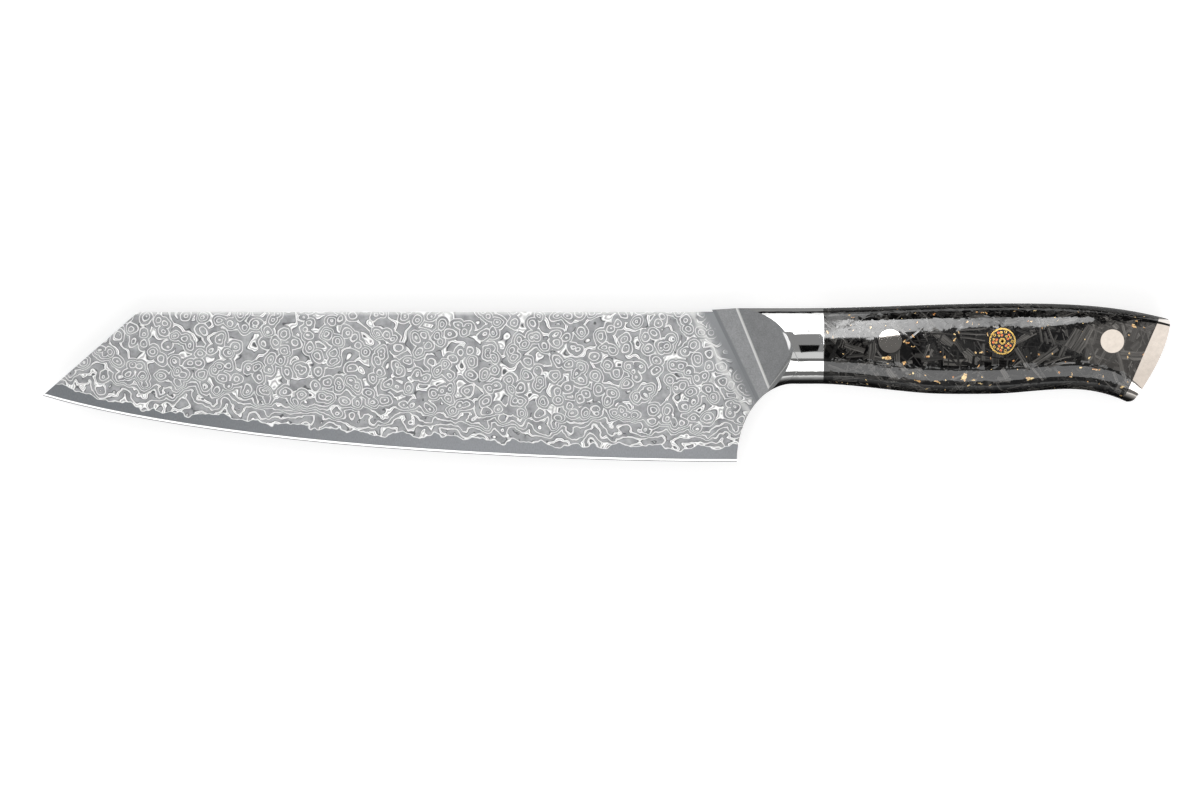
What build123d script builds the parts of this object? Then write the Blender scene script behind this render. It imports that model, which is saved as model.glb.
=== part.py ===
from build123d import *
import math
import os

# A kiritsuke chef's knife, lying on its right side. Lengths are millimetres.
# +X runs from the tip to the butt, +Y from the edge to the spine, and +Z up through the thickness.
# The origin lies under the middle of the whole knife, on the surface that it rests on.

# The whole knife
blade_length = 210.0  # tip to heel corner
handle_length = 130.4  # heel corner to butt, with the bolster
heel_height = 45.4  # heel corner to spine
handle_thickness = 19.0
overrun = 2.0  # how far a cutting solid runs past what it cuts
fit_gap = 0.03  # room round a pin or rod in its hole

# Blade: a hard core between two layers of cladding, ground to a wedge
tip_rise = 20.0  # tip above the heel corner
tip_run = 29.0  # length of the slanted tip, measured along the spine
edge_handle_shares = ((0.14, 0.44), (0.47, 0.98))  # how the edge leaves the tip and comes to the heel
edge_station_shares = (0.0, 0.12, 0.26, 0.42, 0.6, 0.8, 1.0)
spine_thickness = 2.0
tip_spine_thickness = 1.4
bevel_thickness = 0.3  # where the cutting bevel starts
bevel_height = 0.8
core_thickness = 0.5
heel_run = 17.0  # length of the hollow between heel and neck
stub_length = 9.0  # the blade's stub inside the bolster
stub_thickness = 0.9
stub_top_margin = 4.0
stub_bottom_margin = 5.0

# Bolster: a slanted ramp, a flat facet with a steep lower corner, and a rounded neck
weld_lead = 7.2  # the bolster's front at the spine, in front of the heel corner
weld_lean = 26.0  # degrees from square across
shoulder_step = 0.6  # the bolster's front above the spine
bolster_rise = 1.05  # the neck's top above the spine
rise_run = 7.5  # from the bolster's front to its full height
ridge_lag = 7.6  # ridge behind the front, at the spine
ridge_lean = 22.0
ridge_thickness = 4.2
facet_length = 16.3  # heel corner to the rear end of the facet, along the knife
corner_lag = 1.2  # the facet's steep lower corner starts this far behind the ridge's lower end
corner_drop = 2.0  # and ends this far below the neck's middle
corner_steepness = 1.8  # its rise for each millimetre across
neck_length = 9.0  # from the heel's hollow to the scales
neck_height = 22.85

# Handle outline
crest_rise = 2.5  # the crest of the handle above the spine
butt_corner_drop = 4.8  # the top line at the butt, below the crest
butt_corner_radius = 1.5
crest_power = 2.9  # how late the top line falls away towards the butt
grip_lead = 2.3  # the grip's underside starts to fall this far before the scales
belly_start_share = 0.382  # places along the grip, from where its underside starts to fall to the butt
belly_end_share = 0.482
crest_share = 0.539
waist_share = 0.723
lip_share = 0.882
belly_depth = 3.1
waist_depth = 1.6
lip_depth = 5.3
lip_width = 2.2
lip_height = 0.9
rear_middle_shares = (0.62, 0.47)  # a point of the butt's rear, between lip and top corner
rear_foot_shares = (0.55, 0.83)  # which way the rear leaves the lip
rear_lean_share = 0.15  # how far the rear still leans where the top corner starts
outline_margin = 0.1  # the rear's rounded corners run this far past the outline

# Handle section: flat lands joined to a narrow rim by elliptical shoulders
rim_thickness = 4.0
land_crown = 0.02  # shaved off to leave the lands truly flat
upper_shoulder_neck = 8.5
upper_shoulder_grip = 10.0
upper_shoulder_butt = 2.5
lower_shoulder_neck = 8.2
lower_shoulder_grip = 8.6
lower_shoulder_butt = 3.0
front_stations = 8
rear_stations = 8

# Tang and butt cap
tang_thickness = 2.5
tang_stub_length = 8.0
tang_stub_height = 13.0
tang_tail_length = 2.8
tang_tail_height = 9.0
cap_setback = 11.9  # cap joint in front of the butt, at the height of the neck's underside
cap_lean = 23.6

# Rivets and mosaic pin
front_rivet_from_joint = 20.0
rear_rivet_from_butt = 17.5
pin_share = 0.505  # the mosaic pin's place between the two rivets
pins_below_crest = 11.5
rivet_head_diameter = 7.1
rivet_head_depth = 3.0  # the head's underside below the land
rivet_barrel_diameter = 5.0
rivet_pin_diameter = 3.2
rivet_end_room = 0.3
mosaic_diameter = 8.0
mosaic_wall = 0.45
center_tube_diameter = 2.0
center_tube_bore = 0.9
rim_tube_diameter = 0.9
rim_tube_bore = 0.4
rim_tube_circle = 3.0  # radius to the middle of each rim tube
rod_diameter = 0.78
cluster_circle = 2.25  # radius to the middle of each cluster of rods
cluster_half_diagonal = 0.62
cluster_count = 5
cluster_turn = 107.0  # degrees, the first cluster's place round the pin
cluster_twist = 38.0  # how far each cluster's square leans
rim_tube_turn = 71.0

# Places worked out from the sizes
overall_length = blade_length + handle_length
overall_height = heel_height + crest_rise
tip_x = -overall_length / 2
butt_x = overall_length / 2
heel_x = tip_x + blade_length
heel_y = -overall_height / 2
crest_y = overall_height / 2
spine_y = heel_y + heel_height
tip_y = heel_y + tip_rise
neck_x = heel_x + heel_run
joint_x = neck_x + neck_length
neck_top_y = spine_y + bolster_rise
neck_bottom_y = neck_top_y - neck_height
neck_bottom_rise = neck_bottom_y - heel_y
neck_middle_y = (neck_top_y + neck_bottom_y) / 2
grip_x = joint_x - grip_lead
grip_length = butt_x - grip_x
belly_start_x = grip_x + grip_length * belly_start_share
belly_end_x = grip_x + grip_length * belly_end_share
crest_x = grip_x + grip_length * crest_share
waist_x = grip_x + grip_length * waist_share
lip_x = grip_x + grip_length * lip_share
land_height = handle_thickness / 2
rim_height = rim_thickness / 2
middle = Plane.XY.offset(land_height)
weld_lean_rate = math.tan(math.radians(weld_lean))
ridge_lean_rate = math.tan(math.radians(ridge_lean))


def eased(share):
    """A share from 0 to 1 with level ends."""
    held = min(max(share, 0), 1)
    return held * held * (3 - 2 * held)


def edge_point(t):
    """A point of the edge curve, from the tip at 0 to the heel at 1."""
    (first_x, first_y), (second_x, second_y) = edge_handle_shares
    first = 3 * (1 - t) ** 2 * t
    second = 3 * (1 - t) * t**2
    along = first * first_x + second * second_x + t**3
    down = first * first_y + second * second_y + t**3
    return tip_x + blade_length * along, tip_y - tip_rise * down


def spine_half(x):
    """Half the thickness of the spine at x: it tapers towards the tip."""
    share = (x - tip_x) / blade_length
    return (tip_spine_thickness + (spine_thickness - tip_spine_thickness) * share) / 2


def wedge_half(x, y):
    """Half the thickness of the blade behind the heel corner."""
    foot = heel_y + bevel_height
    share = (y - foot) / (spine_y - foot)
    return bevel_thickness / 2 + (spine_half(x) - bevel_thickness / 2) * share


# Underside of the handle: a list of places with level ends, then a lip that falls away
underside = (
    (grip_x, neck_bottom_y),
    (belly_start_x, neck_bottom_y - belly_depth),
    (belly_end_x, neck_bottom_y - belly_depth),
    (waist_x, neck_bottom_y - waist_depth),
)


def top_y(x):
    """Height of the handle's top line at x."""
    if x <= crest_x:
        return neck_top_y + (crest_y - neck_top_y) * eased((x - neck_x) / (crest_x - neck_x))
    return crest_y - butt_corner_drop * ((x - crest_x) / (butt_x - crest_x)) ** crest_power


def bottom_y(x):
    """Height of the handle's bottom line at x."""
    height = underside[0][1]
    for (start_x, start_y), (end_x, end_y) in zip(underside, underside[1:]):
        if x > start_x:
            height = start_y + (end_y - start_y) * eased((x - start_x) / (end_x - start_x))
    if x > waist_x:
        height = underside[-1][1] - (lip_depth - waist_depth) * ((x - waist_x) / (lip_x - waist_x)) ** 2
    return height


def upper_shoulder(x):
    """Width of the rounded shoulder above the land at x."""
    grip = upper_shoulder_neck + (upper_shoulder_grip - upper_shoulder_neck) * eased(
        (x - joint_x) / (crest_x - joint_x)
    )
    return grip + (upper_shoulder_butt - grip) * eased((x - crest_x) / (butt_x - crest_x))


def lower_shoulder(x):
    """Width of the rounded shoulder below the land at x."""
    grip = lower_shoulder_neck + (lower_shoulder_grip - lower_shoulder_neck) * eased(
        (x - joint_x) / (crest_x - joint_x)
    )
    return grip + (lower_shoulder_butt - grip) * eased((x - lip_x + lip_width) / (butt_x - lip_x))


def section_plane(x):
    """The plane square across the knife at x: its own x is the knife's Y, its own y is the thickness."""
    return Plane(origin=(x, 0, land_height), x_dir=(0, 1, 0), z_dir=(1, 0, 0))


def leaning_plane(x, y, lean_rate):
    """An upright plane that passes x, y and leans back as it goes down, facing the butt."""
    return Plane(origin=(x, y, land_height), z_dir=(1, lean_rate, 0))


def plane_of(first, second, third):
    """The plane through three points, facing up."""
    normal = (Vector(second) - Vector(first)).cross(Vector(third) - Vector(first))
    return Plane(origin=first, z_dir=normal if normal.Z > 0 else -normal)


def height_on(plane, x, y):
    """How high a sloping plane lies at x, y."""
    normal = plane.z_dir
    away = Vector(x, y, 0) - plane.origin
    return -(normal.X * away.X + normal.Y * away.Y) / normal.Z + plane.origin.Z


# Sections across the handle, then the curved end of the butt is cut
front_step = (crest_x - neck_x) / front_stations
rear_step = (butt_x + overrun - crest_x) / rear_stations
stations = [neck_x + front_step * i for i in range(front_stations)]
stations += [crest_x + rear_step * i for i in range(rear_stations + 1)]
crown_rise = land_height + land_crown - rim_height

with BuildPart() as handle_blank:
    for station in stations:
        high = top_y(station)
        low = bottom_y(station)
        upper = upper_shoulder(station)
        lower = lower_shoulder(station)
        with BuildSketch(section_plane(station)):
            with BuildLine():
                Line((high, -rim_height), (high, rim_height))
                upper_left = EllipticalCenterArc((high - upper, rim_height), upper, crown_rise, 0)
                lower_left = EllipticalCenterArc((low + lower, rim_height), lower, crown_rise, 90)
                Line(upper_left @ 1, lower_left @ 0)
                Line((low, rim_height), (low, -rim_height))
                lower_right = EllipticalCenterArc((low + lower, -rim_height), lower, crown_rise, 180)
                upper_right = EllipticalCenterArc((high - upper, -rim_height), upper, crown_rise, 270)
                Line(lower_right @ 1, upper_right @ 0)
            make_face()
    loft()

corner_x = butt_x - butt_corner_radius
corner_y = top_y(corner_x) - butt_corner_radius
rear_foot = Vector(lip_x + lip_width, bottom_y(lip_x) + lip_height)
middle_along, middle_up = rear_middle_shares
rear_middle = (
    rear_foot.X + (butt_x - rear_foot.X) * middle_along,
    rear_foot.Y + (corner_y - rear_foot.Y) * middle_up,
)

with BuildPart() as envelope:
    add(handle_blank.part)
    with BuildSketch(middle):
        Rectangle(overall_length + overrun, overall_height + overrun)
    extrude(amount=land_height, both=True, mode=Mode.INTERSECT)
    with BuildSketch(middle):
        with BuildLine():
            rear = Spline(
                [rear_foot, rear_middle, (butt_x, corner_y)],
                tangents=[rear_foot_shares, (rear_lean_share, 1)],
            )
            corner = TangentArc(rear @ 1, (corner_x, top_y(corner_x) + outline_margin), tangent=rear % 1)
            lip = TangentArc(rear @ 0, (lip_x, bottom_y(lip_x) - outline_margin), tangent=-(rear % 0))
            Polyline(
                corner @ 1,
                (corner_x, crest_y + overrun),
                (butt_x + 2 * overrun, crest_y + overrun),
                (butt_x + 2 * overrun, heel_y),
                (lip_x, heel_y),
                lip @ 1,
            )
        make_face()
    extrude(amount=handle_thickness, both=True, mode=Mode.SUBTRACT)

# The blade before it is cut to shape: a wedge from the spine to the edge
with BuildPart() as wedge:
    edge_points = [edge_point(t) for t in edge_station_shares] + [(neck_x, heel_y)]
    for edge_x, edge_y in edge_points:
        half = spine_half(edge_x)
        shoulder_y = edge_y + bevel_height
        with BuildSketch(section_plane(edge_x)):
            with BuildLine():
                Polyline(
                    (edge_y, 0),
                    (shoulder_y, bevel_thickness / 2),
                    (spine_y, half),
                    (spine_y, -half),
                    (shoulder_y, -bevel_thickness / 2),
                    close=True,
                )
            make_face()
    loft()

weld_x = heel_x - weld_lead
weld = leaning_plane(weld_x, spine_y, weld_lean_rate)
stub_top_y = spine_y - stub_top_margin
stub_bottom_y = neck_bottom_y + stub_bottom_margin
stub_top_x = weld_x + stub_top_margin * weld_lean_rate
stub_bottom_x = weld_x + (spine_y - stub_bottom_y) * weld_lean_rate

with BuildPart() as blade_body:
    add(wedge.part)
    with BuildSketch(middle):
        with BuildLine():
            Polyline(
                (tip_x, tip_y),
                (tip_x + tip_run, spine_y),
                (neck_x, spine_y),
                (neck_x, heel_y - overrun),
                (tip_x, heel_y - overrun),
                close=True,
            )
        make_face()
        with Locations((neck_x, heel_y)):
            Ellipse(heel_run, neck_bottom_rise, mode=Mode.SUBTRACT)
    extrude(amount=spine_thickness, both=True, mode=Mode.INTERSECT)
    split(bisect_by=weld, keep=Keep.BOTTOM)
    with BuildSketch(middle):
        with BuildLine():
            Polyline(
                (stub_top_x, stub_top_y),
                (stub_top_x + stub_length, stub_top_y),
                (stub_bottom_x + stub_length, stub_bottom_y),
                (stub_bottom_x, stub_bottom_y),
                close=True,
            )
        make_face()
    extrude(amount=stub_thickness / 2, both=True)

core_top = middle.offset(core_thickness / 2)
core_bottom = middle.offset(-core_thickness / 2)

with BuildPart() as blade_core:
    add(blade_body.part)
    split(bisect_by=core_top, keep=Keep.BOTTOM)
    split(bisect_by=core_bottom, keep=Keep.TOP)

with BuildPart() as cladding_left:
    add(blade_body.part)
    split(bisect_by=core_top, keep=Keep.TOP)

with BuildPart() as cladding_right:
    mirror(cladding_left.part, about=middle)

# Sloping planes of the bolster's front: a shallow ramp up to the ridge, a facet, and its steep lower corner
ridge_top_x = weld_x + ridge_lag
weld_low_x = weld_x + (spine_y - neck_bottom_y) * weld_lean_rate
ridge_middle_x = ridge_top_x + (spine_y - neck_middle_y) * ridge_lean_rate
ridge_low_x = ridge_top_x + (spine_y - neck_bottom_y) * ridge_lean_rate
ramp_plane = plane_of(
    (weld_x, spine_y, land_height + wedge_half(weld_x, spine_y)),
    (weld_low_x, neck_bottom_y, land_height + wedge_half(weld_low_x, neck_bottom_y)),
    (ridge_middle_x, neck_middle_y, land_height + ridge_thickness / 2),
)
facet_plane = plane_of(
    (ridge_top_x, spine_y, height_on(ramp_plane, ridge_top_x, spine_y)),
    (ridge_low_x, neck_bottom_y, height_on(ramp_plane, ridge_low_x, neck_bottom_y)),
    (heel_x + facet_length, neck_middle_y, handle_thickness),
)
corner_low = Vector(ridge_low_x + corner_lag, neck_bottom_y)
corner_high = Vector(heel_x + facet_length, neck_middle_y - corner_drop)
corner_low += Vector(0, 0, height_on(facet_plane, corner_low.X, corner_low.Y))
corner_high += Vector(0, 0, height_on(facet_plane, corner_high.X, corner_high.Y))
corner_away = (corner_high - corner_low).cross(Vector(0, 0, 1)).normalized()
corner_plane = plane_of(
    corner_low, corner_high, corner_low + corner_away + Vector(0, 0, corner_steepness)
)

# What the ramp, the facet and its corner leave bare above the bolster, on both sides
with BuildPart() as front_cutter:
    with BuildSketch(middle):
        Rectangle(overall_length, overall_height + overrun)
    extrude(amount=handle_thickness)
    split(bisect_by=ramp_plane, keep=Keep.TOP)
    split(bisect_by=facet_plane, keep=Keep.TOP)
    split(bisect_by=corner_plane, keep=Keep.TOP)
    mirror(about=middle)

joint_plane = leaning_plane(joint_x, neck_bottom_y, 0)
neck_plane = section_plane(neck_x)

with BuildPart() as shoulder_cutter:
    with BuildSketch(neck_plane):
        with BuildLine():
            upper_arc = EllipticalCenterArc(
                (neck_top_y - upper_shoulder_neck, rim_height), upper_shoulder_neck, crown_rise, 0
            )
            Polyline(
                upper_arc @ 1,
                (neck_top_y - upper_shoulder_neck, land_height + overrun),
                (neck_top_y + overrun, land_height + overrun),
                (neck_top_y + overrun, rim_height),
                upper_arc @ 0,
            )
        make_face()
    extrude(amount=-(neck_x - weld_x + overrun))
    with BuildLine(middle) as hollow:
        EllipticalCenterArc((neck_x, heel_y), heel_run, neck_bottom_rise, 90)
    with BuildSketch(neck_plane):
        with BuildLine():
            lower_arc = EllipticalCenterArc(
                (neck_bottom_y + lower_shoulder_neck, rim_height), lower_shoulder_neck, crown_rise, 90
            )
            Polyline(
                lower_arc @ 0,
                (neck_bottom_y + lower_shoulder_neck, land_height + overrun),
                (neck_bottom_y - overrun, land_height + overrun),
                (neck_bottom_y - overrun, rim_height),
                lower_arc @ 1,
            )
        make_face()
    sweep(path=hollow.line)
    mirror(about=middle)

with BuildPart() as bolster_block:
    with BuildSketch(middle):
        with BuildLine():
            front_x = weld_x - shoulder_step * weld_lean_rate
            Polyline(
                (neck_x, neck_bottom_y),
                (neck_x, neck_top_y),
                (front_x + rise_run, neck_top_y),
                (front_x, spine_y + shoulder_step),
                (front_x - overrun, spine_y + shoulder_step),
                (front_x - overrun, heel_y),
                (heel_x, heel_y),
            )
            EllipticalCenterArc((neck_x, heel_y), heel_run, neck_bottom_rise, 90)
        make_face()
    extrude(amount=land_height, both=True)
    split(bisect_by=weld, keep=Keep.TOP)
    add(shoulder_cutter.part, mode=Mode.SUBTRACT)

# Tang: it follows the handle's outline between the scales, with a stub in the bolster and a tail in the cap
cap_lean_rate = math.tan(math.radians(cap_lean))
cap_plane = leaning_plane(butt_x - cap_setback, neck_bottom_y, -cap_lean_rate)
cap_middle_x = butt_x - cap_setback + (neck_middle_y - neck_bottom_y) * cap_lean_rate
tang_top = middle.offset(tang_thickness / 2)
tang_bottom = middle.offset(-tang_thickness / 2)
pins_y = crest_y - pins_below_crest
rivet_places = (joint_x + front_rivet_from_joint, butt_x - rear_rivet_from_butt)
pin_x = rivet_places[0] + (rivet_places[1] - rivet_places[0]) * pin_share
barrel_length = handle_thickness - 2 * rivet_head_depth
on_base = (Align.CENTER, Align.CENTER, Align.MIN)

with BuildPart() as tang:
    add(envelope.part)
    split(bisect_by=joint_plane, keep=Keep.TOP)
    split(bisect_by=cap_plane, keep=Keep.BOTTOM)
    with BuildSketch(middle):
        with Locations((joint_x, neck_middle_y)):
            Rectangle(2 * tang_stub_length, tang_stub_height)
        with Locations((cap_middle_x, neck_middle_y)):
            Rectangle(2 * tang_tail_length, tang_tail_height, rotation=-cap_lean)
    extrude(amount=tang_thickness, both=True)
    split(bisect_by=tang_top, keep=Keep.BOTTOM)
    split(bisect_by=tang_bottom, keep=Keep.TOP)
    with Locations(*[(x, pins_y) for x in rivet_places]):
        Cylinder(rivet_barrel_diameter / 2 + fit_gap, handle_thickness, align=on_base, mode=Mode.SUBTRACT)
    with Locations((pin_x, pins_y)):
        Cylinder(mosaic_diameter / 2 + fit_gap, handle_thickness, align=on_base, mode=Mode.SUBTRACT)

with BuildPart() as bolster:
    add(envelope.part)
    split(bisect_by=joint_plane, keep=Keep.BOTTOM)
    add(bolster_block.part)
    add(front_cutter.part, mode=Mode.SUBTRACT)
    add(blade_body.part, mode=Mode.SUBTRACT)
    add(tang.part, mode=Mode.SUBTRACT)

with BuildPart() as butt_cap:
    add(envelope.part)
    split(bisect_by=cap_plane, keep=Keep.TOP)
    add(tang.part, mode=Mode.SUBTRACT)

with BuildPart() as scale_left:
    add(envelope.part)
    split(bisect_by=joint_plane, keep=Keep.TOP)
    split(bisect_by=cap_plane, keep=Keep.BOTTOM)
    split(bisect_by=tang_top, keep=Keep.TOP)
    with Locations(*[(x, pins_y, handle_thickness) for x in rivet_places]):
        CounterBoreHole(
            rivet_barrel_diameter / 2 + fit_gap,
            rivet_head_diameter / 2 + fit_gap,
            rivet_head_depth,
            handle_thickness,
        )
    with Locations((pin_x, pins_y, handle_thickness)):
        Hole(mosaic_diameter / 2 + fit_gap, handle_thickness)

with BuildPart() as scale_right:
    mirror(scale_left.part, about=middle)


def female_rivet(x):
    """The rivet half with a hollow barrel, its head flush with the left scale."""
    with BuildPart() as rivet:
        with Locations((x, pins_y, rivet_head_depth + barrel_length)):
            Cylinder(rivet_head_diameter / 2, rivet_head_depth, align=on_base)
        add(envelope.part, mode=Mode.INTERSECT)
        with Locations((x, pins_y, rivet_head_depth + rivet_end_room)):
            Cylinder(rivet_barrel_diameter / 2, barrel_length - rivet_end_room, align=on_base)
            Cylinder(
                rivet_pin_diameter / 2, barrel_length - rivet_end_room, align=on_base, mode=Mode.SUBTRACT
            )
    return rivet


def male_rivet(x):
    """The rivet half with a pin driven into the barrel, its head flush with the right scale."""
    with BuildPart() as rivet:
        with Locations((x, pins_y)):
            Cylinder(rivet_head_diameter / 2, rivet_head_depth, align=on_base)
        add(envelope.part, mode=Mode.INTERSECT)
        with Locations((x, pins_y, rivet_head_depth)):
            Cylinder(rivet_pin_diameter / 2 - fit_gap, barrel_length - rivet_end_room, align=on_base)
    return rivet


rivet_front_female, rivet_rear_female = [female_rivet(x) for x in rivet_places]
rivet_front_male, rivet_rear_male = [male_rivet(x) for x in rivet_places]

# Mosaic pin: a brass tube packed with small rods and tubes, set in resin
copper_places = []
brass_places = []
rim_places = []
for number in range(cluster_count):
    round_pin = number * 360 / cluster_count
    out = Vector(cluster_circle, 0).rotate(Axis.Z, cluster_turn + round_pin)
    for corner_number in range(4):
        away = Vector(cluster_half_diagonal, 0).rotate(
            Axis.Z, cluster_turn + round_pin + cluster_twist + corner_number * 90
        )
        places = copper_places if corner_number % 2 == 0 else brass_places
        places.append((pin_x + out.X + away.X, pins_y + out.Y + away.Y))
    out = Vector(rim_tube_circle, 0).rotate(Axis.Z, rim_tube_turn + round_pin)
    rim_places.append((pin_x + out.X, pins_y + out.Y))


def pin_tube(places, outer_diameter, bore_diameter):
    """Tubes at some places through the whole handle, ground flush with both scales."""
    with BuildPart() as tube:
        with Locations(*places):
            Cylinder(outer_diameter / 2, handle_thickness, align=on_base)
            if bore_diameter:
                Cylinder(bore_diameter / 2, handle_thickness, align=on_base, mode=Mode.SUBTRACT)
        add(envelope.part, mode=Mode.INTERSECT)
    return tube


mosaic_bore = mosaic_diameter - 2 * mosaic_wall
mosaic_tube = pin_tube([(pin_x, pins_y)], mosaic_diameter, mosaic_bore)
mosaic_center_tube = pin_tube([(pin_x, pins_y)], center_tube_diameter, center_tube_bore)
mosaic_rim_tubes = pin_tube(rim_places, rim_tube_diameter, rim_tube_bore)
mosaic_copper_rods = pin_tube(copper_places, rod_diameter, 0)
mosaic_brass_rods = pin_tube(brass_places, rod_diameter, 0)

with BuildPart() as mosaic_resin:
    with Locations((pin_x, pins_y)):
        Cylinder(mosaic_bore / 2 - fit_gap, handle_thickness, align=on_base)
    for places, diameter in (
        ([(pin_x, pins_y)], center_tube_diameter),
        (rim_places, rim_tube_diameter),
        (copper_places + brass_places, rod_diameter),
    ):
        with Locations(*places):
            Cylinder(diameter / 2 + fit_gap, handle_thickness, align=on_base, mode=Mode.SUBTRACT)
    add(envelope.part, mode=Mode.INTERSECT)

# Each piece goes to its own file
os.makedirs("parts", exist_ok=True)
pieces = {
    "blade_core": blade_core,
    "cladding_left": cladding_left,
    "cladding_right": cladding_right,
    "bolster": bolster,
    "tang": tang,
    "butt_cap": butt_cap,
    "scale_left": scale_left,
    "scale_right": scale_right,
    "rivet_front_female": rivet_front_female,
    "rivet_front_male": rivet_front_male,
    "rivet_rear_female": rivet_rear_female,
    "rivet_rear_male": rivet_rear_male,
    "mosaic_tube": mosaic_tube,
    "mosaic_center_tube": mosaic_center_tube,
    "mosaic_rim_tubes": mosaic_rim_tubes,
    "mosaic_copper_rods": mosaic_copper_rods,
    "mosaic_brass_rods": mosaic_brass_rods,
    "mosaic_resin": mosaic_resin,
}
for name, piece in pieces.items():
    piece.part.label = name
    export_step(piece.part, f"parts/{name}.step")
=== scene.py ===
"""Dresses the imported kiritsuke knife: its steels, its resin handle and the studio round it."""

import logging
import math
from dataclasses import dataclass, field
from enum import Enum
from typing import Any

import bmesh
import bpy
import numpy as np
from mathutils import Matrix, Vector


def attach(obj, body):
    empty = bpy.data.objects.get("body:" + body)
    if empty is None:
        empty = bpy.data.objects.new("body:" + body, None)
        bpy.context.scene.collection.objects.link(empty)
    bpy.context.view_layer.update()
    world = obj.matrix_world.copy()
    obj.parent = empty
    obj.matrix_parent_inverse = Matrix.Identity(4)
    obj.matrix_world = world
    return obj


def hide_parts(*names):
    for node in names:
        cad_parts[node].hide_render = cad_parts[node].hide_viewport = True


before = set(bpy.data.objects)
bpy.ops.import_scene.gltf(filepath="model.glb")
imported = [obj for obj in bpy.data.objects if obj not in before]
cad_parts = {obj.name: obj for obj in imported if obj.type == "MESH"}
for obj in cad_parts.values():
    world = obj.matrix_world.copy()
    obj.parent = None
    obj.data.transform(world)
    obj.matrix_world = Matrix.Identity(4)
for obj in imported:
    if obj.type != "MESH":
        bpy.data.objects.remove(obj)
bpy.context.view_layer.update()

MM = 0.001
MIDDLE_Z = 9.5  # mm, the middle plane of the knife that lies on its side
MERGE_REACH = MM * 0.001  # corners of a mesh that lie nearer than this are one
Socket = bpy.types.NodeSocket
log = logging.getLogger("kiritsuke")

SMOOTH = {"interpolation_type": "SMOOTHSTEP"}
COLOUR = {"data_type": "RGBA", "out": 2}
# Clear casting resin polished to a gloss, over whatever lies in it.
RESIN_COAT = {"Coat Weight": 1.0, "Coat Roughness": 0.03, "Coat IOR": 1.68}


class Side(Enum):
    """The two sides of the knife, by the sign of their height from the middle plane."""

    LEFT = 1
    RIGHT = -1


def new_object(name: str, data: bpy.types.ID) -> bpy.types.Object:
    """Adds an object to the scene.

    Args:
        name: its name.
        data: its mesh, lamp or camera.

    Returns:
        The object.
    """
    made = bpy.data.objects.new(name, data)
    bpy.context.scene.collection.objects.link(made)
    return made


def to_linear(hex_colour: str) -> tuple[float, float, float, float]:
    """Turns a colour as seen on a screen into the linear colour that a shader takes.

    Args:
        hex_colour: six hex digits, red first.

    Returns:
        Linear red, green and blue, and a full alpha.
    """
    parts = [int(hex_colour[i : i + 2], 16) / 255 for i in (0, 2, 4)]
    linear = [p / 12.92 if p <= 0.04045 else ((p + 0.055) / 1.055) ** 2.4 for p in parts]
    return (linear[0], linear[1], linear[2], 1.0)


class Draft:
    """A node tree that is being drawn."""

    def __init__(self, tree: bpy.types.NodeTree) -> None:
        """Takes an empty tree."""
        self.graph = tree

    def add(self, kind: str, inputs: dict | None = None, out: int | str | None = 0, **settings: Any) -> Any:
        """Adds one node with its settings and links.

        Args:
            kind: the node's type name, where a shader's node is named without its usual start.
            inputs: values or output sockets for its inputs, by name or number.
            out: the output that is wanted, or None for the node itself.
            settings: properties of the node.

        Returns:
            The socket of that output, or the node.
        """
        node = self.graph.nodes.new(kind if "Node" in kind else f"ShaderNode{kind}")
        for name, value in settings.items():
            setattr(node, name, value)
        for key, value in (inputs or {}).items():
            if isinstance(value, Socket):
                self.graph.links.new(value, node.inputs[key])
            else:
                node.inputs[key].default_value = value
        return node if out is None else node.outputs[out]


class Surface(Draft):
    """The draft of a material, with the surface point in the knife's own millimetres."""

    def __init__(self, name: str) -> None:
        """Starts a material.

        Args:
            name: the real material and how it was made.
        """
        self.material = bpy.data.materials.new(name)
        self.material.use_nodes = True
        super().__init__(self.material.node_tree)
        self.graph.nodes.clear()
        place = self.add("TexCoord", out="Object")
        self.place = self.add("VectorMath", {0: place, "Scale": 1 / MM}, operation="SCALE")
        self.x, self.y, self.z = self.add("SeparateXYZ", {0: self.place}, out=None).outputs

    def close(self, inputs: dict, kind: str = "BsdfPrincipled") -> bpy.types.Material:
        """Ends the tree in one shader.

        Args:
            inputs: the shader's inputs.
            kind: the shader.

        Returns:
            The material.
        """
        self.add("OutputMaterial", {0: self.add(kind, inputs)}, out=None)
        return self.material


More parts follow.
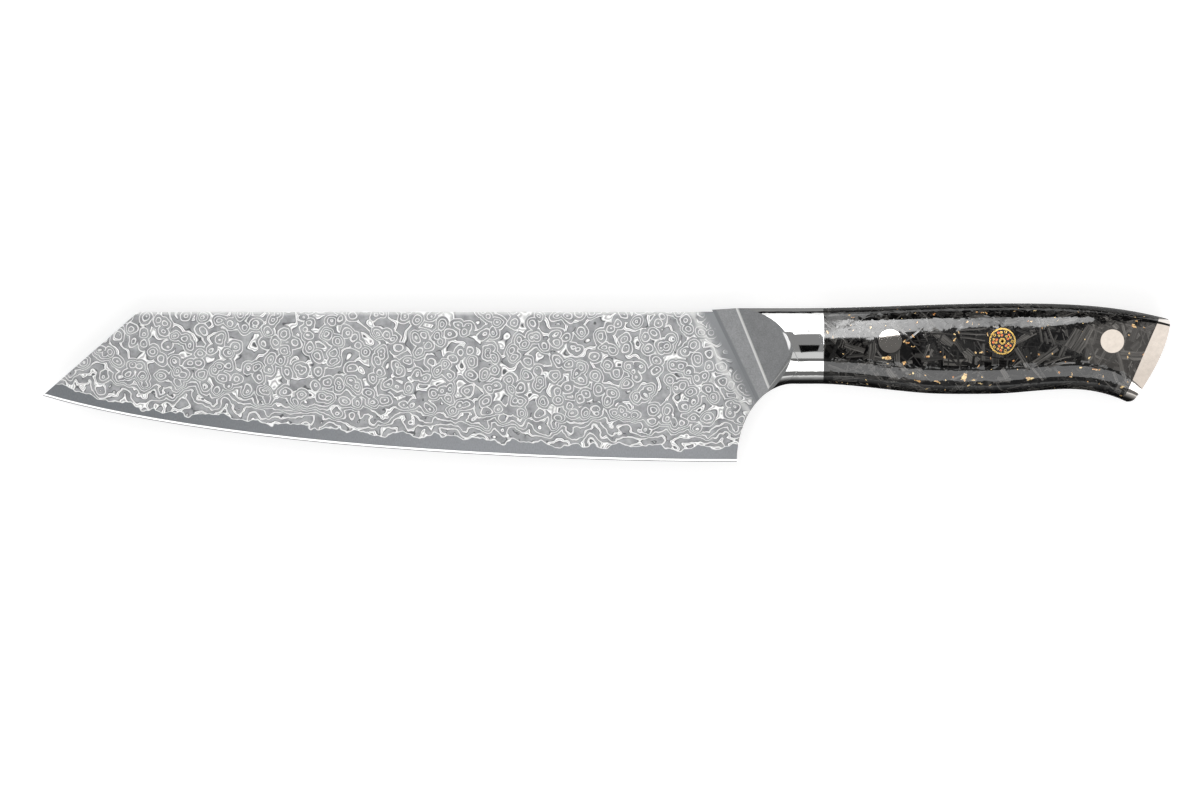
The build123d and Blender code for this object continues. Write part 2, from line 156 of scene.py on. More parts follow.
@dataclass(frozen=True)
class KnifePlan:
    """Places of the knife that the finishes need, in millimetres, as the CAD source has them."""

    tip_x: float = -170.2
    heel_x: float = 39.8
    heel_y: float = -23.95
    spine_y: float = 21.45
    weld_x: float = 32.6
    weld_rate: float = math.tan(math.radians(26))
    ridge_lag: float = 7.6
    ridge_rate: float = math.tan(math.radians(22))
    ridge_half: float = 2.1
    facet_end_x: float = 56.1
    neck_middle_y: float = 11.075
    neck_bottom_y: float = -0.35
    land_half: float = 9.5
    blade_length: float = 210.0
    tip_thickness: float = 1.4
    heel_thickness: float = 2.0
    edge_half: float = 0.15  # half the thickness where the honed edge starts
    bevel_height: float = 0.8

    def wedge_half(self, x: float, y: float) -> float:
        """Gives half the blade's thickness.

        Args:
            x: along the knife.
            y: up the blade.

        Returns:
            Half the thickness there.
        """
        growth = self.heel_thickness - self.tip_thickness
        spine_half = (self.tip_thickness + growth * (x - self.tip_x) / self.blade_length) / 2
        foot = self.heel_y + self.bevel_height
        return self.edge_half + (spine_half - self.edge_half) * (y - foot) / (self.spine_y - foot)

    def ramp(self) -> tuple[Vector, Vector]:
        """Gives a point and the normal of the bolster's ramp, with heights from the middle plane."""
        low_x = self.weld_x + (self.spine_y - self.neck_bottom_y) * self.weld_rate
        middle_x = self.weld_x + self.ridge_lag + (self.spine_y - self.neck_middle_y) * self.ridge_rate
        first = Vector((self.weld_x, self.spine_y, self.wedge_half(self.weld_x, self.spine_y)))
        second = Vector((low_x, self.neck_bottom_y, self.wedge_half(low_x, self.neck_bottom_y)))
        third = Vector((middle_x, self.neck_middle_y, self.ridge_half))
        return first, upward(first, second, third)

    def facet(self) -> tuple[Vector, Vector]:
        """Gives a point and the normal of the bolster's facet, with heights from the middle plane."""
        point, normal = self.ramp()
        ends = []
        for y in (self.spine_y, self.neck_bottom_y):
            x = self.weld_x + self.ridge_lag + (self.spine_y - y) * self.ridge_rate
            away = Vector((x, y, 0)) - Vector((point.x, point.y, 0))
            ends.append(Vector((x, y, point.z - (normal.x * away.x + normal.y * away.y) / normal.z)))
        third = Vector((self.facet_end_x, self.neck_middle_y, self.land_half))
        return ends[0], upward(ends[0], ends[1], third)


def upward(first: Vector, second: Vector, third: Vector) -> Vector:
    """Gives the unit normal of three points, turned upwards.

    Args:
        first: a point of the plane.
        second: another one.
        third: another one.

    Returns:
        The normal.
    """
    normal = (second - first).cross(third - first).normalized()
    return normal if normal.z > 0 else -normal


PLAN = KnifePlan()


@dataclass(frozen=True)
class LayeredSteel:
    """Damascus cladding over a satin core, ground to a wedge, etched and washed.

    The etch eats the plain layers and leaves the nickel ones bright, so the eye sees thin light lines on
    grey: rings where the billet was punched, winding lines between them, and flatter ones towards the core.
    """

    ground: str = "7f8082"
    patch: str = "a6a7a8"
    line: str = "efefee"
    # trench is also the colour of the painted dark line of shade at the very edge of the blade.
    trench: str = "5e5f61"
    # The core's two tones are painted shade, dark at the tip and light at the heel.
    shaded_core_tip: str = "717477"
    lit_core_heel: str = "898b8e"
    blasted: str = "838587"
    # The painted highlight along the edge's bevel.
    painted_edge_band: str = "fbfbfb"
    end_band: str = "d0d0cf"
    ring_spacing: float = 4.3  # mm between the middles of rings
    ring_radius: float = 2.45
    ring_lines: float = 2.6
    hill_size: float = 8.0  # mm, the winding lines between rings
    hill_lines: float = 6.0
    wander: float = 1.9
    wander_rate: float = 0.26  # waves of the noise in a millimetre, here and in the three below
    lobe_rate: float = 0.17
    cloud_rate: float = 0.3
    rag_rate: float = 0.45
    ring_scatter: float = 0.95  # 0 for rings in rows, 1 for no order
    line_fade: tuple[float, float] = (0.06, 0.26)  # share of a layer over which its line fades
    trench_reach: tuple[float, float] = (0.0, 0.1)  # how much line there is where the trench ends
    line_reach: tuple[float, float] = (0.28, 0.9)
    join_half: float = 0.12  # mm on each side of the core's line over which core and cladding mix
    join_line: tuple[float, float] = (0.04, 0.26)  # mm off the core's line that its light rim fades
    join_share: float = 0.75
    far_shift: float = 57.0  # mm that the pattern is moved by on the far side
    lobe_height: float = 6.5
    end_lean: float = 0.5635  # mm back for each mm down, where the damascus ends
    end_place: tuple[float, float] = (26.9, 19.9)
    end_rag: float = 2.6
    blast_fade: tuple[float, float] = (0.8, 4.6)  # mm behind the damascus over which the blasting starts
    band_fade: tuple[float, float] = (0.2, 1.4)
    band_share: float = 0.62
    grain: float = 0.3  # mm; real grinding grain of 0.05 is too fine to show, so it is drawn coarser
    grain_tones: tuple[float, float] = (0.91, 1.09)
    core_shade_fade: tuple[float, float] = (-150.0, -20.0)  # mm along the knife over which the painted shade fades from dark to light
    roughness: float = 0.36
    spine_highlight_width: float = 1.3  # mm below the spine where a painted highlight lightens the etch
    line_past_heel: float = 20.0
    line_span: tuple[float, float] = (-30.0, 10.0)
    core_line: tuple[tuple[float, float], ...] = (
        (-165.3, -0.4), (-156.5, -3.8), (-132.9, -8.0), (-112.6, -10.6), (-83.3, -13.9), (-58.5, -15.4),
        (-21.9, -18.2), (9.9, -19.3), (39.0, -19.4),
    )

    def make(self) -> bpy.types.Material:
        """Builds the material of cladding and core, which meet in a drawn wavy line."""
        tree = Surface("damascus_etched_over_satin_core")
        under = tree.add("Math", {0: tree.z, 1: MIDDLE_Z}, operation="LESS_THAN")
        shift = tree.add("Math", {0: under, 1: self.far_shift, 2: tree.x}, operation="MULTIPLY_ADD")
        flat = tree.add("CombineXYZ", {0: shift, 1: tree.y})
        above = self.above_core(tree, flat)
        lines = self.layer_lines(tree, flat, above)
        steel = self.etched(tree, flat, lines)
        # A painted highlight lightens the etch just below the spine.
        spine_highlight = tree.add(
            "MapRange", {0: tree.y, 1: PLAN.spine_y - self.spine_highlight_width, 2: PLAN.spine_y, 3: 0.0, 4: 0.6}
        )
        steel = tree.add("Mix", {0: spine_highlight, 6: steel, 7: to_linear(self.line)}, **COLOUR)
        core, grain = self.satin(tree, flat)
        join = self.join_half
        bare = tree.add("MapRange", {0: above, 1: -join, 2: join, 3: 1.0, 4: 0.0}, **SMOOTH)
        steel = tree.add("Mix", {0: bare, 6: steel, 7: core}, **COLOUR)
        off = tree.add("Math", {0: above}, operation="ABSOLUTE")
        whole, gone = self.join_line
        edge_line = tree.add("MapRange", {0: off, 1: whole, 2: gone, 3: self.join_share, 4: 0.0}, **SMOOTH)
        steel = tree.add("Mix", {0: edge_line, 6: steel, 7: to_linear(self.line)}, **COLOUR)
        steel, blasted = self.blasted_end(tree, flat, steel)
        relief = tree.add("Mix", {0: bare, 2: lines, 3: grain}, data_type="FLOAT")
        relief = tree.add("Mix", {0: blasted, 2: relief, 3: grain}, data_type="FLOAT")
        bump = tree.add("Bump", {"Height": relief, "Strength": 0.25, "Distance": 0.03 * MM})
        return tree.close(
            {"Base Color": steel, "Metallic": 1.0, "Roughness": self.roughness, "Normal": bump}
        )

    def above_core(self, tree: Surface, flat: Socket) -> Socket:
        """Measures how far a point lies above the wavy line where the core comes out.

        Args:
            tree: the material's draft.
            flat: the point without its height, shifted on the other side.

        Returns:
            Millimetres above the line, less than zero on the core.
        """
        end_x = PLAN.heel_x + self.line_past_heel
        low_y, high_y = self.line_span
        along = tree.add("MapRange", {0: tree.x, 1: PLAN.tip_x, 2: end_x})
        curve = tree.add("FloatCurve", {"Value": along}, out=None)
        points = curve.mapping.curves[0].points
        while len(points) < len(self.core_line):
            points.new(0.5, 0.5)
        for point, (x, y) in zip(points, self.core_line):
            point.location = ((x - PLAN.tip_x) / (end_x - PLAN.tip_x), (y - low_y) / (high_y - low_y))
        curve.mapping.update()
        line_y = tree.add(
            "Math", {0: curve.outputs[0], 1: high_y - low_y, 2: low_y}, operation="MULTIPLY_ADD"
        )
        lobes = tree.add(
            "TexNoise", {"Vector": flat, "Scale": self.lobe_rate, "Detail": 2.0, "Roughness": 0.55}
        )
        above = tree.add("Math", {0: tree.y, 1: line_y}, operation="SUBTRACT")
        lift = tree.add("Math", {0: lobes, 1: 0.5}, operation="SUBTRACT")
        return tree.add("Math", {0: lift, 1: self.lobe_height, 2: above}, operation="MULTIPLY_ADD")

    def layer_lines(self, tree: Surface, flat: Socket, above: Socket) -> Socket:
        """Draws the layers as contour lines of punched rings on gentle hills.

        Args:
            tree: the material's draft.
            flat: the point without its height.
            above: millimetres above the core line.

        Returns:
            1 on a bright layer and 0 between two.
        """
        bend = tree.add("TexNoise", {"Vector": flat, "Scale": self.wander_rate, "Detail": 1.5}, out="Color")
        bend = tree.add("VectorMath", {0: bend, 1: (0.5, 0.5, 0.5)}, operation="SUBTRACT")
        bend = tree.add("VectorMath", {0: bend, "Scale": self.wander}, operation="SCALE")
        bent = tree.add("VectorMath", {0: flat, 1: bend}, operation="ADD")
        away = tree.add(
            "TexVoronoi",
            {"Vector": bent, "Scale": 1 / self.ring_spacing, "Randomness": self.ring_scatter},
            voronoi_dimensions="2D",
            feature="F1",
            out="Distance",
        )
        ring = tree.add(
            "MapRange",
            {0: away, 1: 0.0, 2: self.ring_radius / self.ring_spacing, 3: self.ring_lines, 4: 0.0},
        )
        calm = tree.add("MapRange", {0: above, 1: 0.5, 2: 9.0, 3: 0.25, 4: 1.0}, **SMOOTH)
        ring = tree.add("Math", {0: ring, 1: calm}, operation="MULTIPLY")
        hills = tree.add(
            "TexNoise", {"Vector": bent, "Scale": 1 / self.hill_size, "Detail": 1.2, "Roughness": 0.45}
        )
        stack = tree.add("Math", {0: hills, 1: self.hill_lines, 2: ring}, operation="MULTIPLY_ADD")
        slope = tree.add("MapRange", {0: above, 1: 0.0, 2: 10.0, 3: 0.0, 4: 4.0}, **SMOOTH)
        stack = tree.add("Math", {0: stack, 1: slope}, operation="ADD")
        wave = tree.add("Math", {0: stack, 1: 0.5}, operation="PINGPONG")
        whole, gone = self.line_fade
        line = tree.add("MapRange", {0: wave, 1: whole, 2: gone, 3: 1.0, 4: 0.0}, **SMOOTH)
        # Where a layer lies flat and shows as a patch, its middle is greyer than its rim.
        middle = tree.add("MapRange", {0: wave, 1: 0.01, 2: 0.09, 3: 0.5, 4: 1.0})
        return tree.add("Math", {0: line, 1: middle}, operation="MULTIPLY")

    def etched(self, tree: Surface, flat: Socket, lines: Socket) -> Socket:
        """Colours the layers: a dark trench on each side of a light line, and clouded grey between.

        Args:
            tree: the material's draft.
            flat: the point without its height.
            lines: 1 on a bright layer and 0 between two.

        Returns:
            The colour.
        """
        cloud = tree.add(
            "TexNoise", {"Vector": flat, "Scale": self.cloud_rate, "Detail": 5.0, "Roughness": 0.62}
        )
        cloud = tree.add("MapRange", {0: cloud, 1: 0.34, 2: 0.68})
        steel = tree.add("Mix", {0: cloud, 6: to_linear(self.ground), 7: to_linear(self.patch)}, **COLOUR)
        for (low, high), shade in ((self.trench_reach, self.trench), (self.line_reach, self.line)):
            share = tree.add("MapRange", {0: lines, 1: low, 2: high})
            steel = tree.add("Mix", {0: share, 6: steel, 7: to_linear(shade)}, **COLOUR)
        return steel

    def satin(self, tree: Surface, flat: Socket) -> tuple[Socket, Socket]:
        """Draws the bare core: ground across the edge, with painted shade darker towards the tip.

        Args:
            tree: the material's draft.
            flat: the point without its height.

        Returns:
            The colour, and the grain's height.
        """
        stretch = tree.add("VectorMath", {0: flat, 1: (1 / self.grain, 1.3, 1.0)}, operation="MULTIPLY")
        grain = tree.add("TexNoise", {"Vector": stretch, "Scale": 1.0, "Detail": 3.0})
        # Painted shade that darkens the core towards the tip.
        along = tree.add("MapRange", {0: tree.x, 1: self.core_shade_fade[0], 2: self.core_shade_fade[1]}, **SMOOTH)
        colour = tree.add(
            "Mix", {0: along, 6: to_linear(self.shaded_core_tip), 7: to_linear(self.lit_core_heel)}, **COLOUR
        )
        dark, light = self.grain_tones
        shade = tree.add("MapRange", {0: grain, 1: 0.3, 2: 0.7, 3: dark, 4: light})
        colour = tree.add("Mix", {0: 1.0, 6: colour, 7: shade}, blend_type="MULTIPLY", **COLOUR)
        half = tree.add("Math", {0: tree.z, 1: MIDDLE_Z}, operation="SUBTRACT")
        half = tree.add("Math", {0: half}, operation="ABSOLUTE")
        # Painted highlight along the edge's bevel, then a painted dark line of shade at its very edge.
        for reach, shade in ((PLAN.edge_half, self.painted_edge_band), (PLAN.edge_half * 0.3, self.trench)):
            painted_edge_band = tree.add("MapRange", {0: half, 1: reach * 0.93, 2: reach, 3: 1.0, 4: 0.0})
            colour = tree.add("Mix", {0: painted_edge_band, 6: colour, 7: to_linear(shade)}, **COLOUR)
        return colour, grain

    def blasted_end(self, tree: Surface, flat: Socket, steel: Socket) -> tuple[Socket, Socket]:
        """Ends the damascus in a slanted bright band; behind it the blade is bead-blasted with the bolster.

        Args:
            tree: the material's draft.
            flat: the point without its height.
            steel: the colour so far.

        Returns:
            The colour, and how far a point is blasted.
        """
        lean = tree.add("Math", {0: tree.y, 1: self.end_lean, 2: tree.x}, operation="MULTIPLY_ADD")
        rag = tree.add("TexNoise", {"Vector": flat, "Scale": self.rag_rate, "Detail": 2.0})
        ragged = tree.add("Math", {0: rag, 1: -self.end_rag, 2: lean}, operation="MULTIPLY_ADD")
        start = self.end_place[0] + self.end_place[1] * self.end_lean - self.end_rag / 2
        first, last = self.blast_fade
        behind = tree.add("MapRange", {0: ragged, 1: start + first, 2: start + last}, **SMOOTH)
        off = tree.add("Math", {0: ragged, 1: start}, operation="SUBTRACT")
        off = tree.add("Math", {0: off}, operation="ABSOLUTE")
        whole, gone = self.band_fade
        band = tree.add("MapRange", {0: off, 1: whole, 2: gone, 3: self.band_share, 4: 0.0}, **SMOOTH)
        steel = tree.add("Mix", {0: band, 6: steel, 7: to_linear(self.end_band)}, **COLOUR)
        steel = tree.add("Mix", {0: behind, 6: steel, 7: to_linear(self.blasted)}, **COLOUR)
        return steel, behind


@dataclass(frozen=True)
class BolsterSteel:
    """Stainless steel, bead-blasted on ramp and facet and buffed to a mirror on the neck.

    The blasted planes look evenly grey with a fine grain and a painted highlight along the ridge between
    them, with a painted glint at the facet's rear rim, and the neck shows the studio as sharp white and black
    bands.
    """

    blasted: str = "88898a"
    weld: str = "757779"
    ridge_highlight: str = "c6c6c5"
    mirror: str = "e9e9e8"
    # The colour of a painted glint at the facet's rear rim.
    painted_glint: str = "ffffff"
    glint_spot: tuple[float, float] = (55.0, 12.7)  # mm
    glint_half: tuple[float, float] = (0.55, 2.9)
    glint_turn: float = math.radians(-20)
    glint_bow: float = 0.07  # how much the spot bends across, for each square millimetre along
    plane_room: float = 0.035  # mm off a plane that still counts as on it
    bead: float = 0.4  # mm; real bead marks of 0.1 are too fine to show, so they are drawn coarser
    bead_tones: tuple[float, float] = (0.84, 1.16)
    cloud_rate: float = 0.35  # waves of the noise in a millimetre
    cloud_tones: tuple[float, float] = (0.94, 1.06)
    ridge_highlight_half: float = 0.42  # mm
    weld_half: float = 0.9
    weld_shift: float = 0.35
    blasted_roughness: float = 0.42
    mirror_roughness: float = 0.02

    def make(self) -> bpy.types.Material:
        """Builds the material, with the two finishes told apart by their planes."""
        tree = Surface("stainless_bead_blasted_and_mirror_buffed")
        height = tree.add("Math", {0: tree.z, 1: MIDDLE_Z}, operation="SUBTRACT")
        height = tree.add("Math", {0: height}, operation="ABSOLUTE")
        folded = tree.add("CombineXYZ", {0: tree.x, 1: tree.y, 2: height})
        masks = []
        for point, normal in (PLAN.ramp(), PLAN.facet()):
            depth = tree.add(
                "VectorMath", {0: folded, 1: tuple(normal)}, operation="DOT_PRODUCT", out="Value"
            )
            masks.append(
                tree.add("Math", {0: depth, 1: normal.dot(point), 2: self.plane_room}, operation="COMPARE")
            )
        blasted = tree.add("Math", {0: masks[0], 1: masks[1]}, operation="MAXIMUM")
        bead = tree.add("TexNoise", {"Vector": tree.place, "Scale": 1 / self.bead, "Detail": 2.0})
        cloud = tree.add("TexNoise", {"Vector": tree.place, "Scale": self.cloud_rate, "Detail": 3.0})
        dark, light = self.bead_tones
        grey = tree.add("MapRange", {0: bead, 1: 0.25, 2: 0.75, 3: dark, 4: light})
        dark, light = self.cloud_tones
        cloud = tree.add("MapRange", {0: cloud, 1: 0.3, 2: 0.7, 3: dark, 4: light})
        grey = tree.add("Math", {0: grey, 1: cloud}, operation="MULTIPLY")
        colour = tree.add(
            "Mix", {0: 1.0, 6: to_linear(self.blasted), 7: grey}, blend_type="MULTIPLY", **COLOUR
        )
        # The first line is a painted highlight along the ridge between ramp and facet, the second the dark
        # weld line.
        for rate, x0, half, shade in (
            (PLAN.ridge_rate, PLAN.weld_x + PLAN.ridge_lag, self.ridge_highlight_half, self.ridge_highlight),
            (PLAN.weld_rate, PLAN.weld_x + self.weld_shift, self.weld_half, self.weld),
        ):
            lean = tree.add("Math", {0: tree.y, 1: rate, 2: tree.x}, operation="MULTIPLY_ADD")
            off = tree.add("Math", {0: lean, 1: x0 + PLAN.spine_y * rate}, operation="SUBTRACT")
            off = tree.add("Math", {0: off}, operation="ABSOLUTE")
            near = tree.add("MapRange", {0: off, 1: half * 0.6, 2: half * 1.3, 3: 1.0, 4: 0.0}, **SMOOTH)
            colour = tree.add("Mix", {0: near, 6: colour, 7: to_linear(shade)}, **COLOUR)
        # A painted glint at the facet's rear rim, in plain white.
        glint = self.painted_glint_mask(tree)
        colour = tree.add("Mix", {0: glint, 6: colour, 7: to_linear(self.painted_glint)}, **COLOUR)
        colour = tree.add("Mix", {0: blasted, 6: to_linear(self.mirror), 7: colour}, **COLOUR)
        roughness = tree.add("MapRange", {0: blasted, 3: self.mirror_roughness, 4: self.blasted_roughness})
        height = tree.add("Math", {0: bead, 1: blasted}, operation="MULTIPLY")
        bump = tree.add("Bump", {"Height": height, "Strength": 0.35, "Distance": 0.04 * MM})
        return tree.close({"Base Color": colour, "Metallic": 1.0, "Roughness": roughness, "Normal": bump})

    def painted_glint_mask(self, tree: Surface) -> Socket:
        """Marks the lens-shaped painted glint at the facet's rear rim.

        Args:
            tree: the material's draft.

        Returns:
            1 on the spot and 0 elsewhere.
        """
        x = tree.add("Math", {0: tree.x, 1: self.glint_spot[0]}, operation="SUBTRACT")
        y = tree.add("Math", {0: tree.y, 1: self.glint_spot[1]}, operation="SUBTRACT")
        turned = tree.add(
            "VectorRotate",
            {"Vector": tree.add("CombineXYZ", {0: x, 1: y}), "Angle": self.glint_turn},
            rotation_type="Z_AXIS",
        )
        parts = tree.add("SeparateXYZ", {0: turned}, out=None).outputs
        bow = tree.add("Math", {0: parts[1], 1: 2.0}, operation="POWER")
        across = tree.add("Math", {0: bow, 1: self.glint_bow, 2: parts[0]}, operation="MULTIPLY_ADD")
        size = tree.add(
            "CombineXYZ",
            {
                0: tree.add("Math", {0: across, 1: self.glint_half[0]}, operation="DIVIDE"),
                1: tree.add("Math", {0: parts[1], 1: self.glint_half[1]}, operation="DIVIDE"),
            },
        )
        away = tree.add("VectorMath", {0: size}, operation="LENGTH", out="Value")
        return tree.add("MapRange", {0: away, 1: 0.75, 2: 1.1, 3: 1.0, 4: 0.0}, **SMOOTH)


@dataclass(frozen=True)
class BuffedMetal:
    """A metal ground flush with the handle and buffed.

    Buffing leaves a clear reflection with faint fine scratches along one way, and a little colour drift.
    """

    name: str
    colour: str
    roughness: float
    scratch: float = 0.12  # mm across; real buffing marks are finer still and wouldn't show
    depth: float = 0.06
    drift_rate: float = 0.6  # waves of the noise in a millimetre
    drift_tones: tuple[float, float] = (0.94, 1.04)

    def make(self) -> bpy.types.Material:
        """Builds the material."""
        tree = Surface(self.name)
        stretch = tree.add(
            "VectorMath", {0: tree.place, 1: (0.25, 1 / self.scratch, 1.5)}, operation="MULTIPLY"
        )
        marks = tree.add("TexNoise", {"Vector": stretch, "Scale": 1.0, "Detail": 2.0})
        drift = tree.add("TexNoise", {"Vector": tree.place, "Scale": self.drift_rate, "Detail": 2.0})
        dark, light = self.drift_tones
        shade = tree.add("MapRange", {0: drift, 1: 0.3, 2: 0.7, 3: dark, 4: light})
        colour = tree.add(
            "Mix", {0: 1.0, 6: to_linear(self.colour), 7: shade}, blend_type="MULTIPLY", **COLOUR
        )
        bump = tree.add("Bump", {"Height": marks, "Strength": self.depth, "Distance": 0.01 * MM})
        return tree.close(
            {"Base Color": colour, "Metallic": 1.0, "Roughness": self.roughness, "Normal": bump}
        )


@dataclass(frozen=True)
class CastResin:
    """Clear casting resin over chopped carbon tow, polished to a gloss.

    The eye sees a deep black with dark grey bundles of strands lying all ways, under one glossy skin.
    """

    deep: str = "070708"
    strand: str = "3c3a38"
    bundle: float = 6.0  # mm, a patch of strands that lie one way
    second_shift: float = 40.0  # mm to the pattern of the second layer of bundles
    second_size: float = 0.62  # share of a bundle
    strand_shown: tuple[float, float] = (0.5, 0.72)
    strand_width: float = 0.42

    def make(self) -> bpy.types.Material:
        """Builds the material."""
        tree = Surface("epoxy_resin_with_carbon_tow_polished")
        colour = None
        for shift, size in ((0.0, self.bundle), (self.second_shift, self.bundle * self.second_size)):
            moved = tree.add("VectorMath", {0: tree.place, 1: (shift, shift * 0.7, 0.0)}, operation="ADD")
            patch = tree.add(
                "TexVoronoi", {"Vector": moved, "Scale": 1 / size, "Randomness": 1.0}, feature="F1", out=None
            )
            turn = tree.add("SeparateColor", {0: patch.outputs["Color"]}, out=None).outputs
            angle = tree.add("Math", {0: turn[0], 1: math.tau}, operation="MULTIPLY")
            turned = tree.add("VectorRotate", {"Vector": moved, "Angle": angle}, rotation_type="Z_AXIS")
            stretch = tree.add(
                "VectorMath", {0: turned, 1: (0.12, 1 / self.strand_width, 0.5)}, operation="MULTIPLY"
            )
            strands = tree.add(
                "TexNoise", {"Vector": stretch, "Scale": 1.0, "Detail": 3.0, "Distortion": 0.3}
            )
            low, high = self.strand_shown
            shown = tree.add("MapRange", {0: strands, 1: low, 2: high}, **SMOOTH)
            shown = tree.add("Math", {0: shown, 1: turn[1]}, operation="MULTIPLY")
            colour = tree.add(
                "Mix", {0: shown, 6: colour or to_linear(self.deep), 7: to_linear(self.strand)}, **COLOUR
            )
        return tree.close({"Base Color": colour, "Roughness": 0.55, "Specular IOR Level": 0.0, **RESIN_COAT})


@dataclass(frozen=True)
class CarbonTow:
    """Chopped carbon tow: flat bundles of strands wetted out by the clear resin.

    Under the gloss the eye sees satin dark grey with fine lines along each bundle, each in its own tone.
    """

    dark: str = "0b0b0b"
    light: str = "85827e"
    strand_width: float = 0.38  # mm; real strands of 0.007 are too fine to show, so bundles are drawn
    strand_shown: tuple[float, float] = (0.33, 0.72)

    def make(self) -> bpy.types.Material:
        """Builds the material, which reads each chip's own length, width and tone."""
        tree = Surface("carbon_tow_under_clear_resin")
        chip = tree.add("Attribute", attribute_name="chip_place", out="Vector")
        parts = tree.add("SeparateXYZ", {0: chip}, out=None).outputs
        stretch = tree.add(
            "VectorMath", {0: chip, 1: (0.1, 1 / self.strand_width, 40.0)}, operation="MULTIPLY"
        )
        strands = tree.add("TexNoise", {"Vector": stretch, "Scale": 1.0, "Detail": 3.0, "Roughness": 0.6})
        low, high = self.strand_shown
        shown = tree.add("MapRange", {0: strands, 1: low, 2: high})
        shown = tree.add("Math", {0: shown, 1: parts[2]}, operation="MULTIPLY")
        colour = tree.add("Mix", {0: shown, 6: to_linear(self.dark), 7: to_linear(self.light)}, **COLOUR)
        return tree.close({"Base Color": colour, "Roughness": 0.5, "Specular IOR Level": 0.08, **RESIN_COAT})


@dataclass(frozen=True)
class GoldLeaf:
    """Crumpled flakes of gold leaf under the clear resin.

    Each flake is painted bright warm yellow on its fold crests as a painted highlight, and orange-brown in
    its folds as painted shade.
    """

    bright: str = "ffe4a8"
    deep: str = "b8702c"
    fold: float = 0.25  # mm
    patch_rate: float = 0.5  # waves of the noise in a millimetre
    tone_range: tuple[float, float] = (0.75, 1.15)

    def make(self) -> bpy.types.Material:
        """Builds the material."""
        tree = Surface("gold_leaf_under_clear_resin")
        folds = tree.add("TexNoise", {"Vector": tree.place, "Scale": 1 / self.fold, "Detail": 1.0})
        patch = tree.add("TexNoise", {"Vector": tree.place, "Scale": self.patch_rate, "Detail": 1.0})
        # The fold noise paints highlight on crests and shade in folds; the slower patch noise adds a random
        # tone.
        tone = tree.add("Math", {0: folds, 1: patch}, operation="ADD")
        tone = tree.add("MapRange", {0: tone, 1: self.tone_range[0], 2: self.tone_range[1]})
        colour = tree.add("Mix", {0: tone, 6: to_linear(self.deep), 7: to_linear(self.bright)}, **COLOUR)
        bump = tree.add("Bump", {"Height": folds, "Strength": 0.6, "Distance": 0.2 * MM})
        return tree.close(
            {"Base Color": colour, "Metallic": 0.6, "Roughness": 0.45, **RESIN_COAT, "Normal": bump}
        )


@dataclass(frozen=True)
class PinFiller:
    """Black casting resin between the rods of the mosaic pin, ground flush.

    A dull black with the odd pale speck of filler.
    """

    colour: str = "1a1614"
    speck: float = 0.25  # mm
    speck_tones: tuple[float, float] = (0.7, 2.2)

    def make(self) -> bpy.types.Material:
        """Builds the material."""
        tree = Surface("black_casting_resin_ground")
        noise = tree.add("TexNoise", {"Vector": tree.place, "Scale": 1 / self.speck, "Detail": 2.0})
        dark, light = self.speck_tones
        shade = tree.add("MapRange", {0: noise, 1: 0.4, 2: 0.8, 3: dark, 4: light})
        colour = tree.add(
            "Mix", {0: 1.0, 6: to_linear(self.colour), 7: shade}, blend_type="MULTIPLY", **COLOUR
        )
        return tree.close({"Base Color": colour, "Roughness": 0.3})


@dataclass(frozen=True)
class Softbox:
    """A flat studio lamp or card, given by two edges in the plane across the knife."""

    name: str
    radiance: float
    x_range: tuple[float, float]  # m
    near: tuple[float, float]  # y and z of one long edge, m
    far: tuple[float, float]
    colour: tuple[float, float, float] = (1.0, 1.0, 1.0)

    def make(self) -> bpy.types.Object:
        """Builds the lamp, facing the knife."""
        low_x, high_x = self.x_range
        (near_y, near_z), (far_y, far_z) = self.near, self.far
        middle = Vector(((low_x + high_x) / 2, (near_y + far_y) / 2, (near_z + far_z) / 2))
        run = Vector((0, far_y - near_y, far_z - near_z))
        lamp = bpy.data.lights.new(self.name, "AREA")
        lamp.shape = "RECTANGLE"
        lamp.size = high_x - low_x
        lamp.size_y = run.length
        lamp.color = self.colour
        lamp.energy = self.radiance * math.pi * lamp.size * lamp.size_y
        facing = Vector((1, 0, 0)).cross(run).normalized()
        if facing.dot(-middle) < 0:
            facing = -facing
        up = run.normalized()
        right = up.cross(-facing)
        lamp_object = new_object(self.name, lamp)
        lamp_object.matrix_world = axes_matrix(right, up, -facing, middle)
        lamp_object.visible_camera = False
        return lamp_object


@dataclass(frozen=True)
class Card:
    """A toned card that only reflections see, as a studio uses to draw bright and dark bands on polish."""

    name: str
    corners: tuple[tuple[float, float, float], ...]  # m
    axis: int  # 0 for tones that change along the knife, 1 for across
    tones: tuple[tuple[float, float], ...]  # place along that axis in m, and radiance

    def make(self) -> bpy.types.Object:
        """Builds the card and its tones."""
        tree = Surface(f"{self.name}_paper")
        place = (tree.x, tree.y)[self.axis]
        low, high = self.tones[0][0], self.tones[-1][0]
        brightest = max(tone for _, tone in self.tones)
        share = tree.add("MapRange", {0: place, 1: low / MM, 2: high / MM})
        ramp = tree.add("ValToRGB", {0: share}, out=None)
        elements = ramp.color_ramp.elements
        while len(elements) < len(self.tones):
            elements.new(1.0)
        for element, (spot, tone) in zip(elements, self.tones):
            grey = tone / brightest
            element.position = (spot - low) / (high - low)
            element.color = (grey, grey, grey, 1.0)
        tree.close({"Color": ramp.outputs[0], "Strength": brightest}, "Emission")
        mesh = bpy.data.meshes.new(self.name)
        mesh.from_pydata(self.corners, [], [tuple(range(len(self.corners)))])
        mesh.materials.append(tree.material)
        card = new_object(self.name, mesh)
        card.visible_camera = card.visible_diffuse = card.visible_shadow = card.visible_transmission = False
        return card


